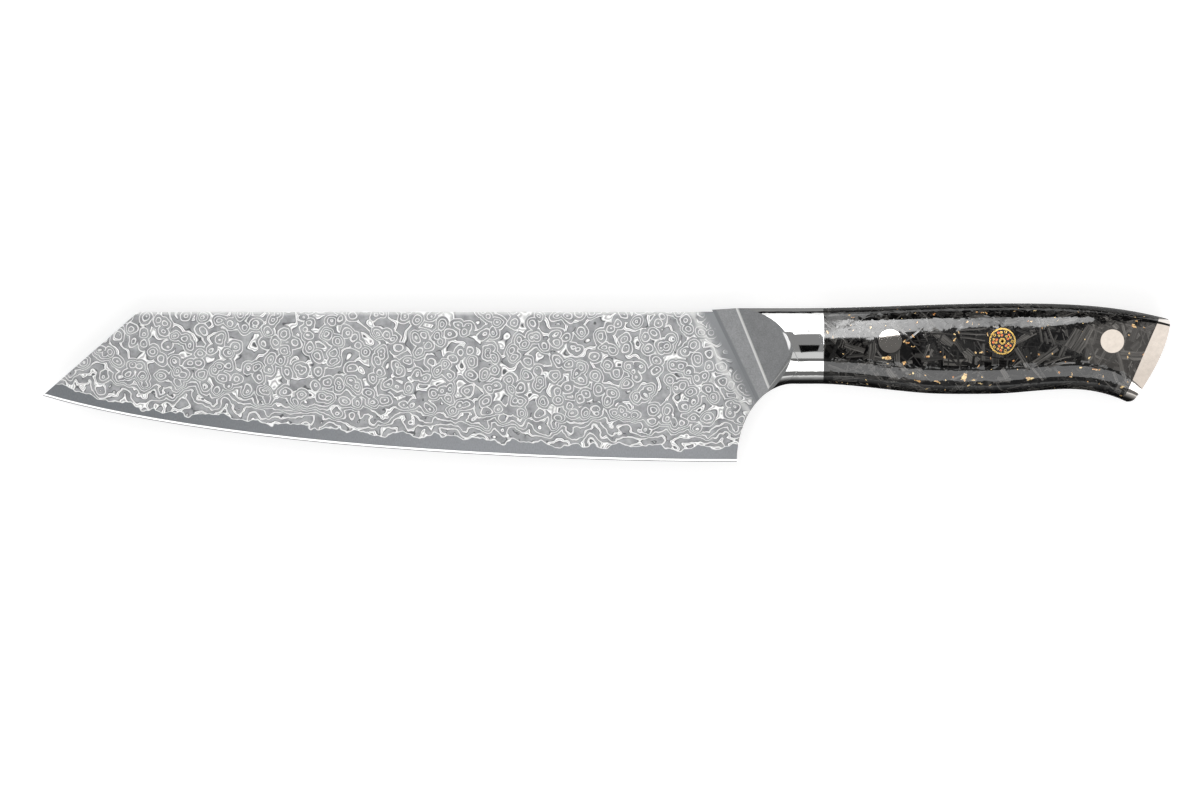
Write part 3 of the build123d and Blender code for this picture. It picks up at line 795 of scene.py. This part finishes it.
def axes_matrix(right: Vector, up: Vector, back: Vector, place: Vector) -> Matrix:
    """Makes the matrix of an object from its axes and place.

    Args:
        right: its x axis.
        up: its y axis.
        back: its z axis.
        place: its origin.

    Returns:
        A 4 by 4 matrix.
    """
    matrix = Matrix.Identity(4)
    for column, axis in enumerate((right, up, back, place)):
        for row in range(3):
            matrix[row][column] = axis[row]
    return matrix


@dataclass
class Studio:
    """White floor that curves up far away, soft lamps, and the camera straight above the knife's side."""

    camera_x: float = -1.59
    camera_y: float = -5.27
    camera_height: float = 2017.0
    lens: float = 200.0
    floor_radius: float = 6.0
    floor_rise: float = 0.7
    floor_flat_share: float = 0.8
    floor_sides: int = 96
    floor_steps: int = 8
    floor_colour: str = "b4b4b4"
    floor_glow: float = 0.72
    clip_range: tuple[float, float] = (0.1, 50.0)
    world_grey: float = 0.16
    softboxes: tuple[Softbox, ...] = (
        Softbox("tip_softbox", 1.4, (-0.6, -0.22), (0.07, 1.0), (1.0, 0.58)),
        Softbox("top_softbox", 2.6, (-0.22, -0.04), (0.07, 1.0), (1.0, 0.58)),
        Softbox("heel_softbox", 0.85, (-0.04, 0.062), (0.07, 1.0), (1.0, 0.58)),
        Softbox("back_softbox", 1.9, (-0.5, 0.1), (1.0, 0.58), (1.0, 0.0)),
        Softbox("front_softbox", 1.9, (-0.5, 0.6), (-0.3, 0.95), (-0.87, 0.5)),
        Softbox("thin_softbox", 1.6, (-0.5, 0.6), (-0.06, 1.0), (-0.19, 0.98)),
        Softbox("butt_card", 0.85, (0.165, 0.4), (0.1, 0.3), (-0.06, 0.3), (1.0, 0.94, 0.88)),
    )
    cards: tuple[Card, ...] = (
        Card(
            "edge_card",
            ((-0.3, -3.0, 0.0004), (0.172, -3.0, 0.0004), (0.172, 0.088, 0.0004), (-0.3, 0.088, 0.0004)),
            1,
            (
                (-0.30, 0.42), (-0.12, 0.38), (-0.05, 0.16), (-0.024, 0.01), (0.022, 0.01), (0.024, 0.26),
                (0.048, 0.3), (0.052, 0.01), (0.088, 0.01),
            ),
        ),
        Card(
            "tip_end_card",
            ((-2.2, -3.0, 0.02), (-2.2, 3.0, 0.02), (-1.7, 3.0, 2.0), (-1.7, -3.0, 2.0)),
            0,
            ((-2.2, 0.75), (-1.7, 0.75)),
        ),
        Card(
            "butt_end_card",
            ((2.2, -3.0, 0.02), (2.2, 3.0, 0.02), (1.7, 3.0, 2.0), (1.7, -3.0, 2.0)),
            0,
            ((1.7, 0.75), (2.2, 0.75)),
        ),
        Card(
            "handle_card",
            (
                (0.062, 0.02, 1.021), (0.1205, 0.02, 1.021), (0.1345, 0.02, 1.021), (0.142, 0.15, 0.964),
                (0.152, 0.32, 0.887), (0.18, 0.50, 0.806), (0.2, 0.62, 0.752), (0.2, 1.0, 0.58),
                (0.062, 1.0, 0.58),
            ),
            0,
            ((0.062, 1.6), (0.09, 3.0), (0.1, 8.4), (0.12, 7.0), (0.14, 5.4), (0.168, 3.8), (0.2, 0.3)),
        ),
        Card(
            "neck_card",
            (
                (0.045, 0.0012, 0.119), (0.0691, 0.0012, 0.119), (0.0691, 0.0148, 0.119),
                (0.0665, 0.018, 0.119), (0.0631, 0.029, 0.119), (0.0581, 0.048, 0.119),
                (0.045, 0.048, 0.119),
            ),
            1,
            ((0.001, 0.004), (0.0077, 0.004), (0.0078, 0.72), (0.0099, 0.72), (0.01, 0.27), (0.048, 0.27)),
        ),
        Card(
            "patch_card",
            (
                (0.0619, 0.0097, 0.118), (0.0672, 0.0102, 0.118), (0.0679, 0.0121, 0.118),
                (0.0612, 0.0121, 0.118),
            ),
            1,
            ((0.009, 0.004), (0.013, 0.004)),
        ),
        Card(
            "land_card",
            (
                (0.0692, 0.0012, 0.119), (0.1, 0.0012, 0.119), (0.1, 0.0152, 0.119),
                (0.0924, 0.0155, 0.119), (0.0842, 0.0145, 0.119), (0.0692, 0.0144, 0.119),
            ),
            0,
            ((0.069, 0.02), (0.083, 0.02), (0.0835, 0.13), (0.0966, 0.13), (0.0975, 0.02), (0.1, 0.02)),
        ),
        Card(
            "line_card",
            ((0.15, -0.055, 1.0), (0.36, -0.055, 1.0), (0.36, 0.012, 1.0), (0.15, 0.0132, 1.0)),
            1,
            ((-0.055, 0.004), (0.014, 0.004)),
        ),
        Card(
            "cap_card",
            ((0.15, 0.035, 0.27), (0.5, 0.035, 0.27), (0.5, 0.13, 0.001), (0.15, 0.13, 0.001)),
            1,
            ((0.035, 0.03), (0.13, 0.03)),
        ),
        Card(
            "rim_card",
            ((0.101, 0.9, 0.62), (0.5, 0.9, 0.62), (0.5, 0.9, 0.001), (0.101, 0.9, 0.001)),
            0,
            ((0.1, 0.01), (0.5, 0.01)),
        ),
        Card(
            "facet_card",
            ((-0.62, -0.8, 0.25), (-0.9, 0.05, 0.1), (-0.72, 0.1, 0.75), (-0.45, -0.7, 0.85)),
            0,
            ((-0.9, 0.9), (-0.4, 0.9)),
        ),
    )

    def build(self) -> None:
        """Makes the camera, the floor, the world and the lamps."""
        self.camera()
        self.floor()
        self.world()
        for lit in (*self.softboxes, *self.cards):
            lit.make()
        bpy.context.scene.view_settings.view_transform = "Standard"
        log.info("studio: %d softboxes, %d cards", len(self.softboxes), len(self.cards))

    def camera(self) -> None:
        """Places the camera, which looks straight down on the knife's left side."""
        data = bpy.data.cameras.new("camera")
        data.lens = self.lens
        data.clip_start, data.clip_end = self.clip_range
        camera = new_object("camera", data)
        camera.location = (self.camera_x * MM, self.camera_y * MM, (MIDDLE_Z + self.camera_height) * MM)
        bpy.context.scene.camera = camera

    def floor(self) -> None:
        """Makes the floor: a wide disc whose rim curves up, so low views see no horizon."""
        shape = bmesh.new()
        sides, flat = self.floor_sides, self.floor_flat_share
        rings = [(self.floor_radius * flat, 0.0)]
        for i in range(1, self.floor_steps + 1):
            angle = i / self.floor_steps * math.pi / 2
            out, rise = math.sin(angle), 1 - math.cos(angle)
            rings.append((self.floor_radius * (flat + (1 - flat) * out), self.floor_rise * rise))
        turns = [math.tau * i / sides for i in range(sides)]
        loops = []
        for r, z in rings:
            loops.append([shape.verts.new((r * math.cos(turn), r * math.sin(turn), z)) for turn in turns])
        shape.faces.new(loops[0])
        for inner, outer in zip(loops, loops[1:]):
            for i in range(sides):
                shape.faces.new((inner[i], outer[i], outer[(i + 1) % sides], inner[(i + 1) % sides]))
        mesh = bpy.data.meshes.new("floor")
        shape.to_mesh(mesh)
        shape.free()
        mesh.materials.append(self.floor_paper())
        new_object("floor", mesh)

    def floor_paper(self) -> bpy.types.Material:
        """Builds the floor's white paper, which glows to the eye and to metal, and still takes a shadow."""
        tree = Surface("white_background_paper")
        path = tree.add("LightPath", out=None).outputs
        seen = tree.add("Math", {0: path["Is Camera Ray"], 1: path["Is Glossy Ray"]}, operation="MAXIMUM")
        seen = tree.add("Math", {0: seen, 1: path["Is Transmission Ray"]}, operation="MAXIMUM")
        glow = tree.add("Emission", {"Color": to_linear("ffffff"), "Strength": self.floor_glow})
        paper = tree.add("BsdfDiffuse", {"Color": to_linear(self.floor_colour)})
        both = tree.add("AddShader", {0: glow, 1: paper})
        return tree.close({0: seen, 1: paper, 2: both}, "MixShader")

    def world(self) -> None:
        """Makes the dim grey room round the lamps."""
        world = bpy.data.worlds.new("grey_room")
        world.use_nodes = True
        tree = Draft(world.node_tree)
        tree.graph.nodes.clear()
        grey = self.world_grey
        room = tree.add("Background", {"Color": (grey, grey, grey, 1.0), "Strength": 1.0})
        tree.add("OutputWorld", {0: room}, out=None)
        bpy.context.scene.world = world


def dress(node: str, material: bpy.types.Material) -> None:
    """Gives a CAD node one better material.

    Args:
        node: the CAD node's name.
        material: its new material.
    """
    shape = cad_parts[node]
    for slot in shape.material_slots:
        slot.material = material
    log.info("%s: %s", node, material.name)


@dataclass
class Blade:
    """The layered blade: core and two claddings."""

    steel: LayeredSteel = field(default_factory=LayeredSteel)

    def build(self) -> None:
        """Dresses core and claddings in one steel, so that the drawn line between them is the one seen."""
        steel = self.steel.make()
        for node in ("blade_core", "cladding_left", "cladding_right"):
            dress(node, steel)


@dataclass
class Mounts:
    """The steel of the handle: bolster, tang, butt cap and rivets."""

    bolster: BolsterSteel = field(default_factory=BolsterSteel)
    cap: BuffedMetal = BuffedMetal("stainless_cap_mirror_buffed", "ece6e0", 0.05)
    tang: BuffedMetal = BuffedMetal("stainless_tang_ground_and_buffed", "d8d8d8", 0.16, 0.2, 0.2)
    rivet: BuffedMetal = BuffedMetal("stainless_rivet_ground_and_buffed", "efe9e2", 0.03, 0.15, 0.02)

    def build(self) -> None:
        """Dresses each steel piece."""
        dress("bolster", self.bolster.make())
        dress("butt_cap", self.cap.make())
        dress("tang", self.tang.make())
        rivet = self.rivet.make()
        for end in ("front", "rear"):
            for half in ("female", "male"):
                dress(f"rivet_{end}_{half}", rivet)


@dataclass
class MosaicPin:
    """The decorated pin: brass tubes and rods, copper rods and black filler."""

    brass: BuffedMetal = BuffedMetal("brass_ground_and_buffed", "d6b266", 0.24, 0.15, 0.15)
    copper: BuffedMetal = BuffedMetal("copper_ground_and_buffed", "e08458", 0.26, 0.15, 0.15)
    filler: PinFiller = field(default_factory=PinFiller)

    def build(self) -> None:
        """Dresses each piece of the pin."""
        brass = self.brass.make()
        for node in ("mosaic_tube", "mosaic_center_tube", "mosaic_rim_tubes", "mosaic_brass_rods"):
            dress(node, brass)
        dress("mosaic_copper_rods", self.copper.make())
        dress("mosaic_resin", self.filler.make())


class Outline(Enum):
    """The outline of a piece before it is strewn."""

    CHIP = "GeometryNodeMeshCube"
    FLAKE = "GeometryNodeMeshCylinder"


@dataclass(frozen=True)
class Strewn:
    """A kind of thin closed pieces that lie in the resin just under its polish."""

    name: str
    outline: Outline
    per_square_metre: float
    length: tuple[float, float]  # mm
    width: tuple[float, float]
    width_power: float  # how much rarer the wide ones are
    depth: tuple[float, float]
    thickness: float
    bend: float  # mm that a piece wanders off straight
    bend_size: float
    seed: int
    placed: tuple[tuple[float, float, float, float, float], ...] = ()  # x, y, length, width, turn in degrees
    placed_tone: float = 0.8
    crumbs: float = 0.0  # how many crumbs a millimetre of a piece falls into, 0 for a whole piece

    def crumbled(self) -> list[tuple[float, float, float, float, float]]:
        """Gives the listed pieces, each broken into crumbs where this kind crumbles."""
        if not self.crumbs:
            return list(self.placed)
        draw = np.random.default_rng(self.seed)
        pieces = []
        for x, y, length, width, turn in self.placed:
            for _ in range(max(2, round(length * self.crumbs))):
                along = draw.uniform(-0.5, 0.5) * (length - width / 2)
                across = draw.uniform(-0.5, 0.5) * width * 0.6
                cos, sin = math.cos(math.radians(turn)), math.sin(math.radians(turn))
                size = width * draw.uniform(0.45, 0.95)
                pieces.append(
                    (
                        x + along * cos - across * sin,
                        y + along * sin + across * cos,
                        size * 1.5,
                        size * draw.uniform(0.45, 0.9),
                        turn + draw.uniform(-50, 50),
                    ),
                )
        return pieces

    def places(self) -> bpy.types.Object:
        """Makes the listed pieces into points that carry their size and turn."""
        placed = self.crumbled()
        mesh = bpy.data.meshes.new(f"{self.name}_places")
        mesh.from_pydata([(x * MM, y * MM, 2 * MIDDLE_Z * MM) for x, y, *_ in placed], [], [])
        mesh.attributes.new("chip_size", "FLOAT_VECTOR", "POINT")
        mesh.attributes.new("chip_turn", "FLOAT", "POINT")
        for number, (_, _, length, width, turn) in enumerate(placed):
            mesh.attributes["chip_size"].data[number].vector = (length * MM, width * MM, self.placed_tone)
            mesh.attributes["chip_turn"].data[number].value = math.radians(turn)
        return new_object(f"{self.name}_places", mesh)

    def strew(
        self, piece_name: str, skin: bpy.types.Object, material: bpy.types.Material, seed: int, placed: bool
    ) -> bpy.types.Object:
        """Lays the pieces on a skin and turns the result into a plain mesh.

        Args:
            piece_name: the new object's name.
            skin: the surface that they lie under.
            material: their finish.
            seed: added to the kind's own seed.
            placed: whether the listed pieces are there too.

        Returns:
            The object.
        """
        carrier = self.places() if placed else new_object(piece_name, bpy.data.meshes.new(piece_name))
        tree = Bed(self).build()
        modifier = carrier.modifiers.new("strewn", "NODES")
        modifier.node_group = tree
        values = {"Skin": skin, "Seed": self.seed + seed, "Material": material, **self.measures()}
        for item in tree.interface.items_tree:
            if item.name in values:
                modifier[item.identifier] = values[item.name]
        depsgraph = bpy.context.evaluated_depsgraph_get()
        mesh = bpy.data.meshes.new_from_object(carrier.evaluated_get(depsgraph), depsgraph=depsgraph)
        carrier.modifiers.clear()
        bpy.data.objects.remove(carrier)
        mesh.name = piece_name
        for name in ("chip_local", "chip_size", "chip_turn", "chip_depth"):
            if name in mesh.attributes:
                mesh.attributes.remove(mesh.attributes[name])
        made = new_object(piece_name, mesh)
        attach(made, "root")
        log.info("%s: %d faces", piece_name, len(mesh.polygons))
        return made

    def outline_inputs(self) -> dict:
        """Gives the inputs of the outline's own node: a grid for a chip, a ring of corners for a flake."""
        if self.outline is Outline.CHIP:
            return {"Size": (1.0, 1.0, 1.0), "Vertices X": 6, "Vertices Y": 3, "Vertices Z": 2}
        return {"Vertices": 9, "Side Segments": 1, "Fill Segments": 2, "Radius": 0.5, "Depth": 1.0}

    def measures(self) -> dict[str, float]:
        """Gives the kind's measures in metres, under the names that its geometry tree has for them."""
        return {
            "Pieces per square metre": self.per_square_metre,
            "Shortest": self.length[0] * MM,
            "Longest": self.length[1] * MM,
            "Narrowest": self.width[0] * MM,
            "Widest": self.width[1] * MM,
            "Shallowest": self.depth[0] * MM,
            "Deepest": self.depth[1] * MM,
            "Thickness": self.thickness * MM,
            "Bend": self.bend * MM,
            "Bends per metre": 1 / (self.bend_size * MM),
        }


class Bed(Draft):
    """The geometry tree that strews, sizes, turns, bends and beds a kind of pieces."""

    STORE = "GeometryNodeStoreNamedAttribute"
    READ = "GeometryNodeInputNamedAttribute"
    SHARP_ANGLE = 0.6  # radians between two faces from which their edge stays sharp
    TONE_POWER = 1.6  # how much rarer the light pieces are
    MODEL_HEIGHT = 0.01  # mm, before a piece gets its thickness

    def __init__(self, kind: Strewn) -> None:
        """Opens the tree with its inputs and the skin.

        Args:
            kind: the kind of pieces.
        """
        super().__init__(bpy.data.node_groups.new(f"strew_{kind.name}", "GeometryNodeTree"))
        self.kind = kind
        sockets = self.graph.interface
        kinds = {"Places": "Geometry", "Skin": "Object", "Seed": "Int", "Material": "Material"}
        for name in (*kinds, *kind.measures()):
            sockets.new_socket(name, in_out="INPUT", socket_type=f"NodeSocket{kinds.get(name, 'Float')}")
        sockets.new_socket("Pieces", in_out="OUTPUT", socket_type="NodeSocketGeometry")
        self.given = {socket.name: socket for socket in self.add("NodeGroupInput", out=None).outputs}
        self.skin = self.add("GeometryNodeObjectInfo", {0: self.given["Skin"]}, out="Geometry")
        normal = {"Mesh": self.skin, "Value": self.add("GeometryNodeInputNormal")}
        self.normal = self.add(
            "GeometryNodeSampleNearestSurface", normal, data_type="FLOAT_VECTOR", out="Value"
        )
        self.size = self.add(self.READ, {"Name": "chip_size"}, data_type="FLOAT_VECTOR")
        self.local = self.add(self.READ, {"Name": "chip_local"}, data_type="FLOAT_VECTOR")

    def build(self) -> bpy.types.NodeTree:
        """Draws the tree from the points to the finished pieces."""
        piece = self.add(self.kind.outline.value, self.kind.outline_inputs(), out="Mesh")
        position = {0: piece, "Name": "chip_local", "Value": self.add("GeometryNodeInputPosition")}
        piece = self.add(self.STORE, position, data_type="FLOAT_VECTOR")
        parts = self.add("SeparateXYZ", {0: self.size}, out=None).outputs
        scale = self.add("CombineXYZ", {0: parts[0], 1: parts[1], 2: self.MODEL_HEIGHT * MM})
        laid = self.add(
            "GeometryNodeInstanceOnPoints",
            {"Points": self.points(), "Instance": piece, "Rotation": self.turned_flat(), "Scale": scale},
        )
        laid = self.add("GeometryNodeRealizeInstances", {0: laid})
        laid = self.bedded(self.bent(laid))
        along = self.add("VectorMath", {0: self.local, 1: self.size}, operation="MULTIPLY")
        along = self.add("VectorMath", {0: along, "Scale": 1 / MM}, operation="SCALE")
        flat = self.add("SeparateXYZ", {0: along}, out=None).outputs
        place = self.add("CombineXYZ", {0: flat[0], 1: flat[1], 2: parts[2]})
        laid = self.add(
            self.STORE, {0: laid, "Name": "chip_place", "Value": place}, data_type="FLOAT_VECTOR"
        )
        angle = self.add("GeometryNodeInputMeshEdgeAngle")
        sharp = self.add("FunctionNodeCompare", {0: angle, 1: self.SHARP_ANGLE}, operation="GREATER_THAN")
        laid = self.add("GeometryNodeSetShadeSmooth", {0: laid, 2: True})
        laid = self.add("GeometryNodeSetShadeSmooth", {0: laid, 1: sharp, 2: False}, domain="EDGE")
        laid = self.add("GeometryNodeSetMaterial", {0: laid, 2: self.given["Material"]})
        self.add("NodeGroupOutput", {0: laid}, out=None)
        return self.graph

    def points(self) -> Socket:
        """Strews points on the skin, gives each its size, turn and depth, and adds the listed ones."""
        given = self.given
        points = self.add(
            "GeometryNodeDistributePointsOnFaces",
            {"Mesh": self.skin, "Density": given["Pieces per square metre"], "Seed": given["Seed"]},
        )
        draws = []
        for number in range(5):
            seed = self.add("Math", {0: given["Seed"], 1: 7.0 * number + 1}, operation="ADD")
            draws.append(self.add("FunctionNodeRandomValue", {2: 0.0, 3: 1.0, 8: seed}, out=1))
        rare = self.add("Math", {0: draws[1], 1: self.kind.width_power}, operation="POWER")
        length = self.add("MapRange", {0: draws[0], 3: given["Shortest"], 4: given["Longest"]})
        width = self.add("MapRange", {0: rare, 3: given["Narrowest"], 4: given["Widest"]})
        tone = self.add("Math", {0: draws[2], 1: self.TONE_POWER}, operation="POWER")
        size = self.add("CombineXYZ", {0: length, 1: width, 2: tone})
        turn = self.add("Math", {0: draws[3], 1: math.tau}, operation="MULTIPLY")
        depth = self.add("MapRange", {0: draws[4], 3: given["Shallowest"], 4: given["Deepest"]})
        for name, value, kind in (
            ("chip_size", size, "FLOAT_VECTOR"), ("chip_turn", turn, "FLOAT"), ("chip_depth", depth, "FLOAT"),
        ):
            points = self.add(self.STORE, {0: points, "Name": name, "Value": value}, data_type=kind)
        placed = self.add("GeometryNodeMeshToPoints", {0: given["Places"]})
        above = self.add("Math", {0: draws[4], 1: given["Shallowest"]}, operation="MULTIPLY")
        placed = self.add(self.STORE, {0: placed, "Name": "chip_depth", "Value": above}, data_type="FLOAT")
        joined = self.add("GeometryNodeJoinGeometry", out=None)
        self.graph.links.new(placed, joined.inputs[0])
        self.graph.links.new(points, joined.inputs[0])
        return joined.outputs[0]

    def turned_flat(self) -> Socket:
        """Turns each piece to lie along the skin, then by its own turn."""
        flat = self.add("FunctionNodeAlignRotationToVector", {"Vector": self.normal}, axis="Z")
        turn = self.add(self.READ, {"Name": "chip_turn"}, data_type="FLOAT")
        own = self.add("FunctionNodeAxisAngleToRotation", {"Axis": (0.0, 0.0, 1.0), "Angle": turn})
        return self.add("FunctionNodeRotateRotation", {0: flat, 1: own}, rotation_space="LOCAL")

    def bent(self, laid: Socket) -> Socket:
        """Bends the pieces a little, so no two are alike.

        Args:
            laid: the pieces.

        Returns:
            The bent pieces.
        """
        where = {"Vector": self.add("GeometryNodeInputPosition"), "Scale": self.given["Bends per metre"]}
        noise = self.add("TexNoise", {**where, "Detail": 1.0}, out="Color")
        noise = self.add("VectorMath", {0: noise, 1: (0.5, 0.5, 0.5)}, operation="SUBTRACT")
        offset = self.add("VectorMath", {0: noise, "Scale": self.given["Bend"]}, operation="SCALE")
        return self.add("GeometryNodeSetPosition", {"Geometry": laid, "Offset": offset})

    def bedded(self, laid: Socket) -> Socket:
        """Beds each piece at its depth under the skin, its underside a thickness deeper.

        Args:
            laid: the pieces.

        Returns:
            The bedded pieces.
        """
        nearest = self.add("GeometryNodeProximity", {0: self.skin}, target_element="FACES")
        local = self.add("SeparateXYZ", {0: self.local}, out=2)
        below = self.add("Math", {0: 0.5, 1: local}, operation="SUBTRACT")
        top = self.add(self.READ, {"Name": "chip_depth"}, data_type="FLOAT")
        depth = self.add("Math", {0: below, 1: self.given["Thickness"], 2: top}, operation="MULTIPLY_ADD")
        down = self.add("VectorMath", {0: self.normal, "Scale": depth}, operation="SCALE")
        place = self.add("VectorMath", {0: nearest, 1: down}, operation="SUBTRACT")
        return self.add("GeometryNodeSetPosition", {"Geometry": laid, "Position": place})


def merged_triangles(node: str) -> tuple[np.ndarray, np.ndarray, np.ndarray]:
    """Copies a CAD node's loose triangles with their doubled corners merged.

    Args:
        node: the CAD node's name.

    Returns:
        Places in metres, triangles as three place numbers, and the CAD's normal at each corner.
    """
    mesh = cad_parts[node].data
    places = np.empty(len(mesh.vertices) * 3, np.float32)
    mesh.vertices.foreach_get("co", places)
    corners = np.empty(len(mesh.loops), np.int32)
    mesh.loops.foreach_get("vertex_index", corners)
    normals = np.empty(len(mesh.loops) * 3, np.float32)
    mesh.corner_normals.foreach_get("vector", normals)
    near = np.round(places.reshape(-1, 3) / MERGE_REACH).astype(np.int64)
    unique, first, number = np.unique(near, axis=0, return_index=True, return_inverse=True)
    triangles = number.reshape(-1)[corners].reshape(-1, 3)
    real = (
        (triangles[:, 0] != triangles[:, 1])
        & (triangles[:, 1] != triangles[:, 2])
        & (triangles[:, 2] != triangles[:, 0])
    )
    return places.reshape(-1, 3)[first].astype(float), triangles[real], normals.reshape(-1, 3, 3)[real]


@dataclass
class Scales:
    """The two resin scales, with chopped carbon tow and gold leaf just under their polish."""

    resin: CastResin = field(default_factory=CastResin)
    tow: CarbonTow = field(default_factory=CarbonTow)
    leaf: GoldLeaf = field(default_factory=GoldLeaf)
    bed: float = 0.03  # mm that the resin lies under the ground surface, where chips and leaf come up to it
    inner_half: float = 1.25  # the tang's half thickness
    middle_y: float = 9.8
    half_height: float = 13.0
    skin_lean: float = 0.12
    ledge_height: float = 7.0
    level_lean: float = 0.999  # least upward share of a level face's normal
    carbon: Strewn = Strewn(
        "carbon_tow",
        Outline.CHIP,
        per_square_metre=230000.0,
        length=(2.5, 8.5),
        width=(0.3, 2.6),
        width_power=3.2,
        depth=(0.01, 0.026),
        thickness=0.03,
        bend=1.6,
        bend_size=9.0,
        seed=11,
        placed=(
            (142.9, 13.9, 9.2, 5.4, 60.0), (131.8, 7.7, 10.6, 1.8, 32.0), (140.2, 19.4, 4.6, 1.4, 22.0),
            (96.5, 9.6, 4.4, 0.8, 66.0), (93.0, 14.5, 6.6, 0.6, 36.0), (110.0, 16.0, 8.6, 0.6, 6.0),
            (110.4, 14.7, 8.2, 0.6, -2.0), (110.6, 13.3, 7.6, 0.6, -8.0), (125.6, 7.2, 7.8, 1.3, -62.0),
            (131.0, 16.0, 8.0, 0.7, 98.0), (132.4, 15.6, 8.0, 0.7, 102.0), (133.9, 15.2, 7.6, 0.8, 108.0),
            (136.4, 6.9, 8.4, 0.7, 12.0), (137.8, 5.6, 8.4, 0.8, 7.0),
        ),
    )
    gold: Strewn = Strewn(
        "gold_leaf",
        Outline.FLAKE,
        per_square_metre=26000.0,
        length=(0.25, 1.1),
        width=(0.2, 0.6),
        width_power=2.0,
        depth=(0.002, 0.007),
        thickness=0.03,
        bend=0.5,
        bend_size=0.6,
        seed=5,
        crumbs=4.5,
        placed=(
            (84.7, 7.4, 2.8, 1.0, 10.0), (90.1, 5.6, 1.2, 1.0, 60.0), (94.0, -0.4, 2.1, 0.7, -32.0),
            (100.1, -0.7, 2.1, 0.7, -32.0), (108.1, 1.4, 2.4, 1.3, 80.0), (111.0, 0.2, 1.1, 0.7, 20.0),
            (113.1, -1.6, 1.6, 0.5, -30.0), (128.2, 0.5, 2.0, 1.1, 15.0), (159.1, 17.1, 1.6, 0.8, -52.0),
            (155.5, -2.2, 1.9, 0.8, 52.0), (147.9, 3.8, 2.2, 0.5, -10.0), (105.2, 12.9, 1.5, 0.6, 65.0),
            (102.2, 7.7, 0.9, 0.8, 80.0), (91.0, 12.1, 0.9, 0.7, 0.0), (97.2, 7.9, 0.8, 0.7, 0.0),
            (113.2, 9.1, 1.2, 0.5, 20.0), (112.5, 5.0, 1.1, 0.5, 60.0), (74.6, 20.8, 1.2, 0.5, 0.0),
            (73.4, 22.4, 0.9, 0.6, 0.0), (99.1, 22.3, 1.2, 0.6, 80.0), (109.2, 18.7, 1.0, 0.6, 30.0),
            (113.9, 22.9, 1.3, 0.5, 0.0), (128.2, 18.6, 1.1, 0.5, 0.0), (159.5, 20.6, 1.1, 0.5, 0.0),
            (145.8, 7.4, 0.9, 0.5, 30.0), (162.1, 8.4, 0.8, 0.5, 60.0),
        ),
    )

    def build(self) -> None:
        """Beds both scales with chips and leaf."""
        resin, tow, leaf = self.resin.make(), self.tow.make(), self.leaf.make()
        for side in Side:
            name = side.name.lower()
            skin = self.skin(side)
            self.bed_scale(side, resin)
            shown = side is Side.LEFT
            seed = 0 if shown else 100
            self.carbon.strew(f"carbon_tow_{name}", skin, tow, seed, shown)
            self.gold.strew(f"gold_leaf_{name}", skin, leaf, seed, shown)
            bpy.data.objects.remove(skin)

    def skin(self, side: Side) -> bpy.types.Object:
        """Copies the ground outside of a scale, without its ends, holes and inner face.

        Args:
            side: which scale.

        Returns:
            An unseen object that is removed again after the strewing.
        """
        places, triangles, _ = merged_triangles(f"scale_{side.name.lower()}")
        corners = places[triangles]
        normals = np.cross(corners[:, 1] - corners[:, 0], corners[:, 2] - corners[:, 0])
        lengths = np.linalg.norm(normals, axis=1)
        lengths[lengths == 0] = 1
        up = normals[:, 2] / lengths * side.value
        height = (corners[:, :, 2].mean(axis=1) / MM - MIDDLE_Z) * side.value
        ledge = (up > self.level_lean) & (height < self.ledge_height)
        outside = triangles[(up > self.skin_lean) & ~ledge]
        mesh = bpy.data.meshes.new(f"skin_{side.name.lower()}")
        mesh.from_pydata(places.tolist(), [], outside.tolist())
        mesh.shade_smooth()
        return new_object(mesh.name, mesh)

    def bed_scale(self, side: Side, resin: bpy.types.Material) -> None:
        """Copies a scale a hair smaller and lets it stand for the CAD node.

        Args:
            side: which scale.
            resin: its finish.
        """
        name = f"scale_{side.name.lower()}"
        places, triangles, normals = merged_triangles(name)
        reach = MIDDLE_Z - self.inner_half
        inner = (MIDDLE_Z + side.value * self.inner_half) * MM
        places[:, 2] = inner + (places[:, 2] - inner) * (1 - self.bed / reach)
        middle = self.middle_y * MM
        places[:, 1] = middle + (places[:, 1] - middle) * (1 - self.bed / self.half_height)
        mesh = bpy.data.meshes.new(f"resin_{name}")
        mesh.from_pydata(places.tolist(), [], triangles.tolist())
        mesh.shade_smooth()
        mesh.normals_split_custom_set(normals.reshape(-1, 3).tolist())
        mesh.materials.append(resin)
        copy = new_object(f"resin_{name}", mesh)
        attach(copy, "root")
        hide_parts(name)
        log.info("%s: %d faces", copy.name, len(mesh.polygons))


def main() -> None:
    """Builds the studio and dresses the knife, piece by piece."""
    logging.basicConfig(level=logging.INFO, format="%(name)s: %(message)s")
    Studio().build()
    Blade().build()
    Mounts().build()
    MosaicPin().build()
    Scales().build()


if __name__ == "__main__":
    main()
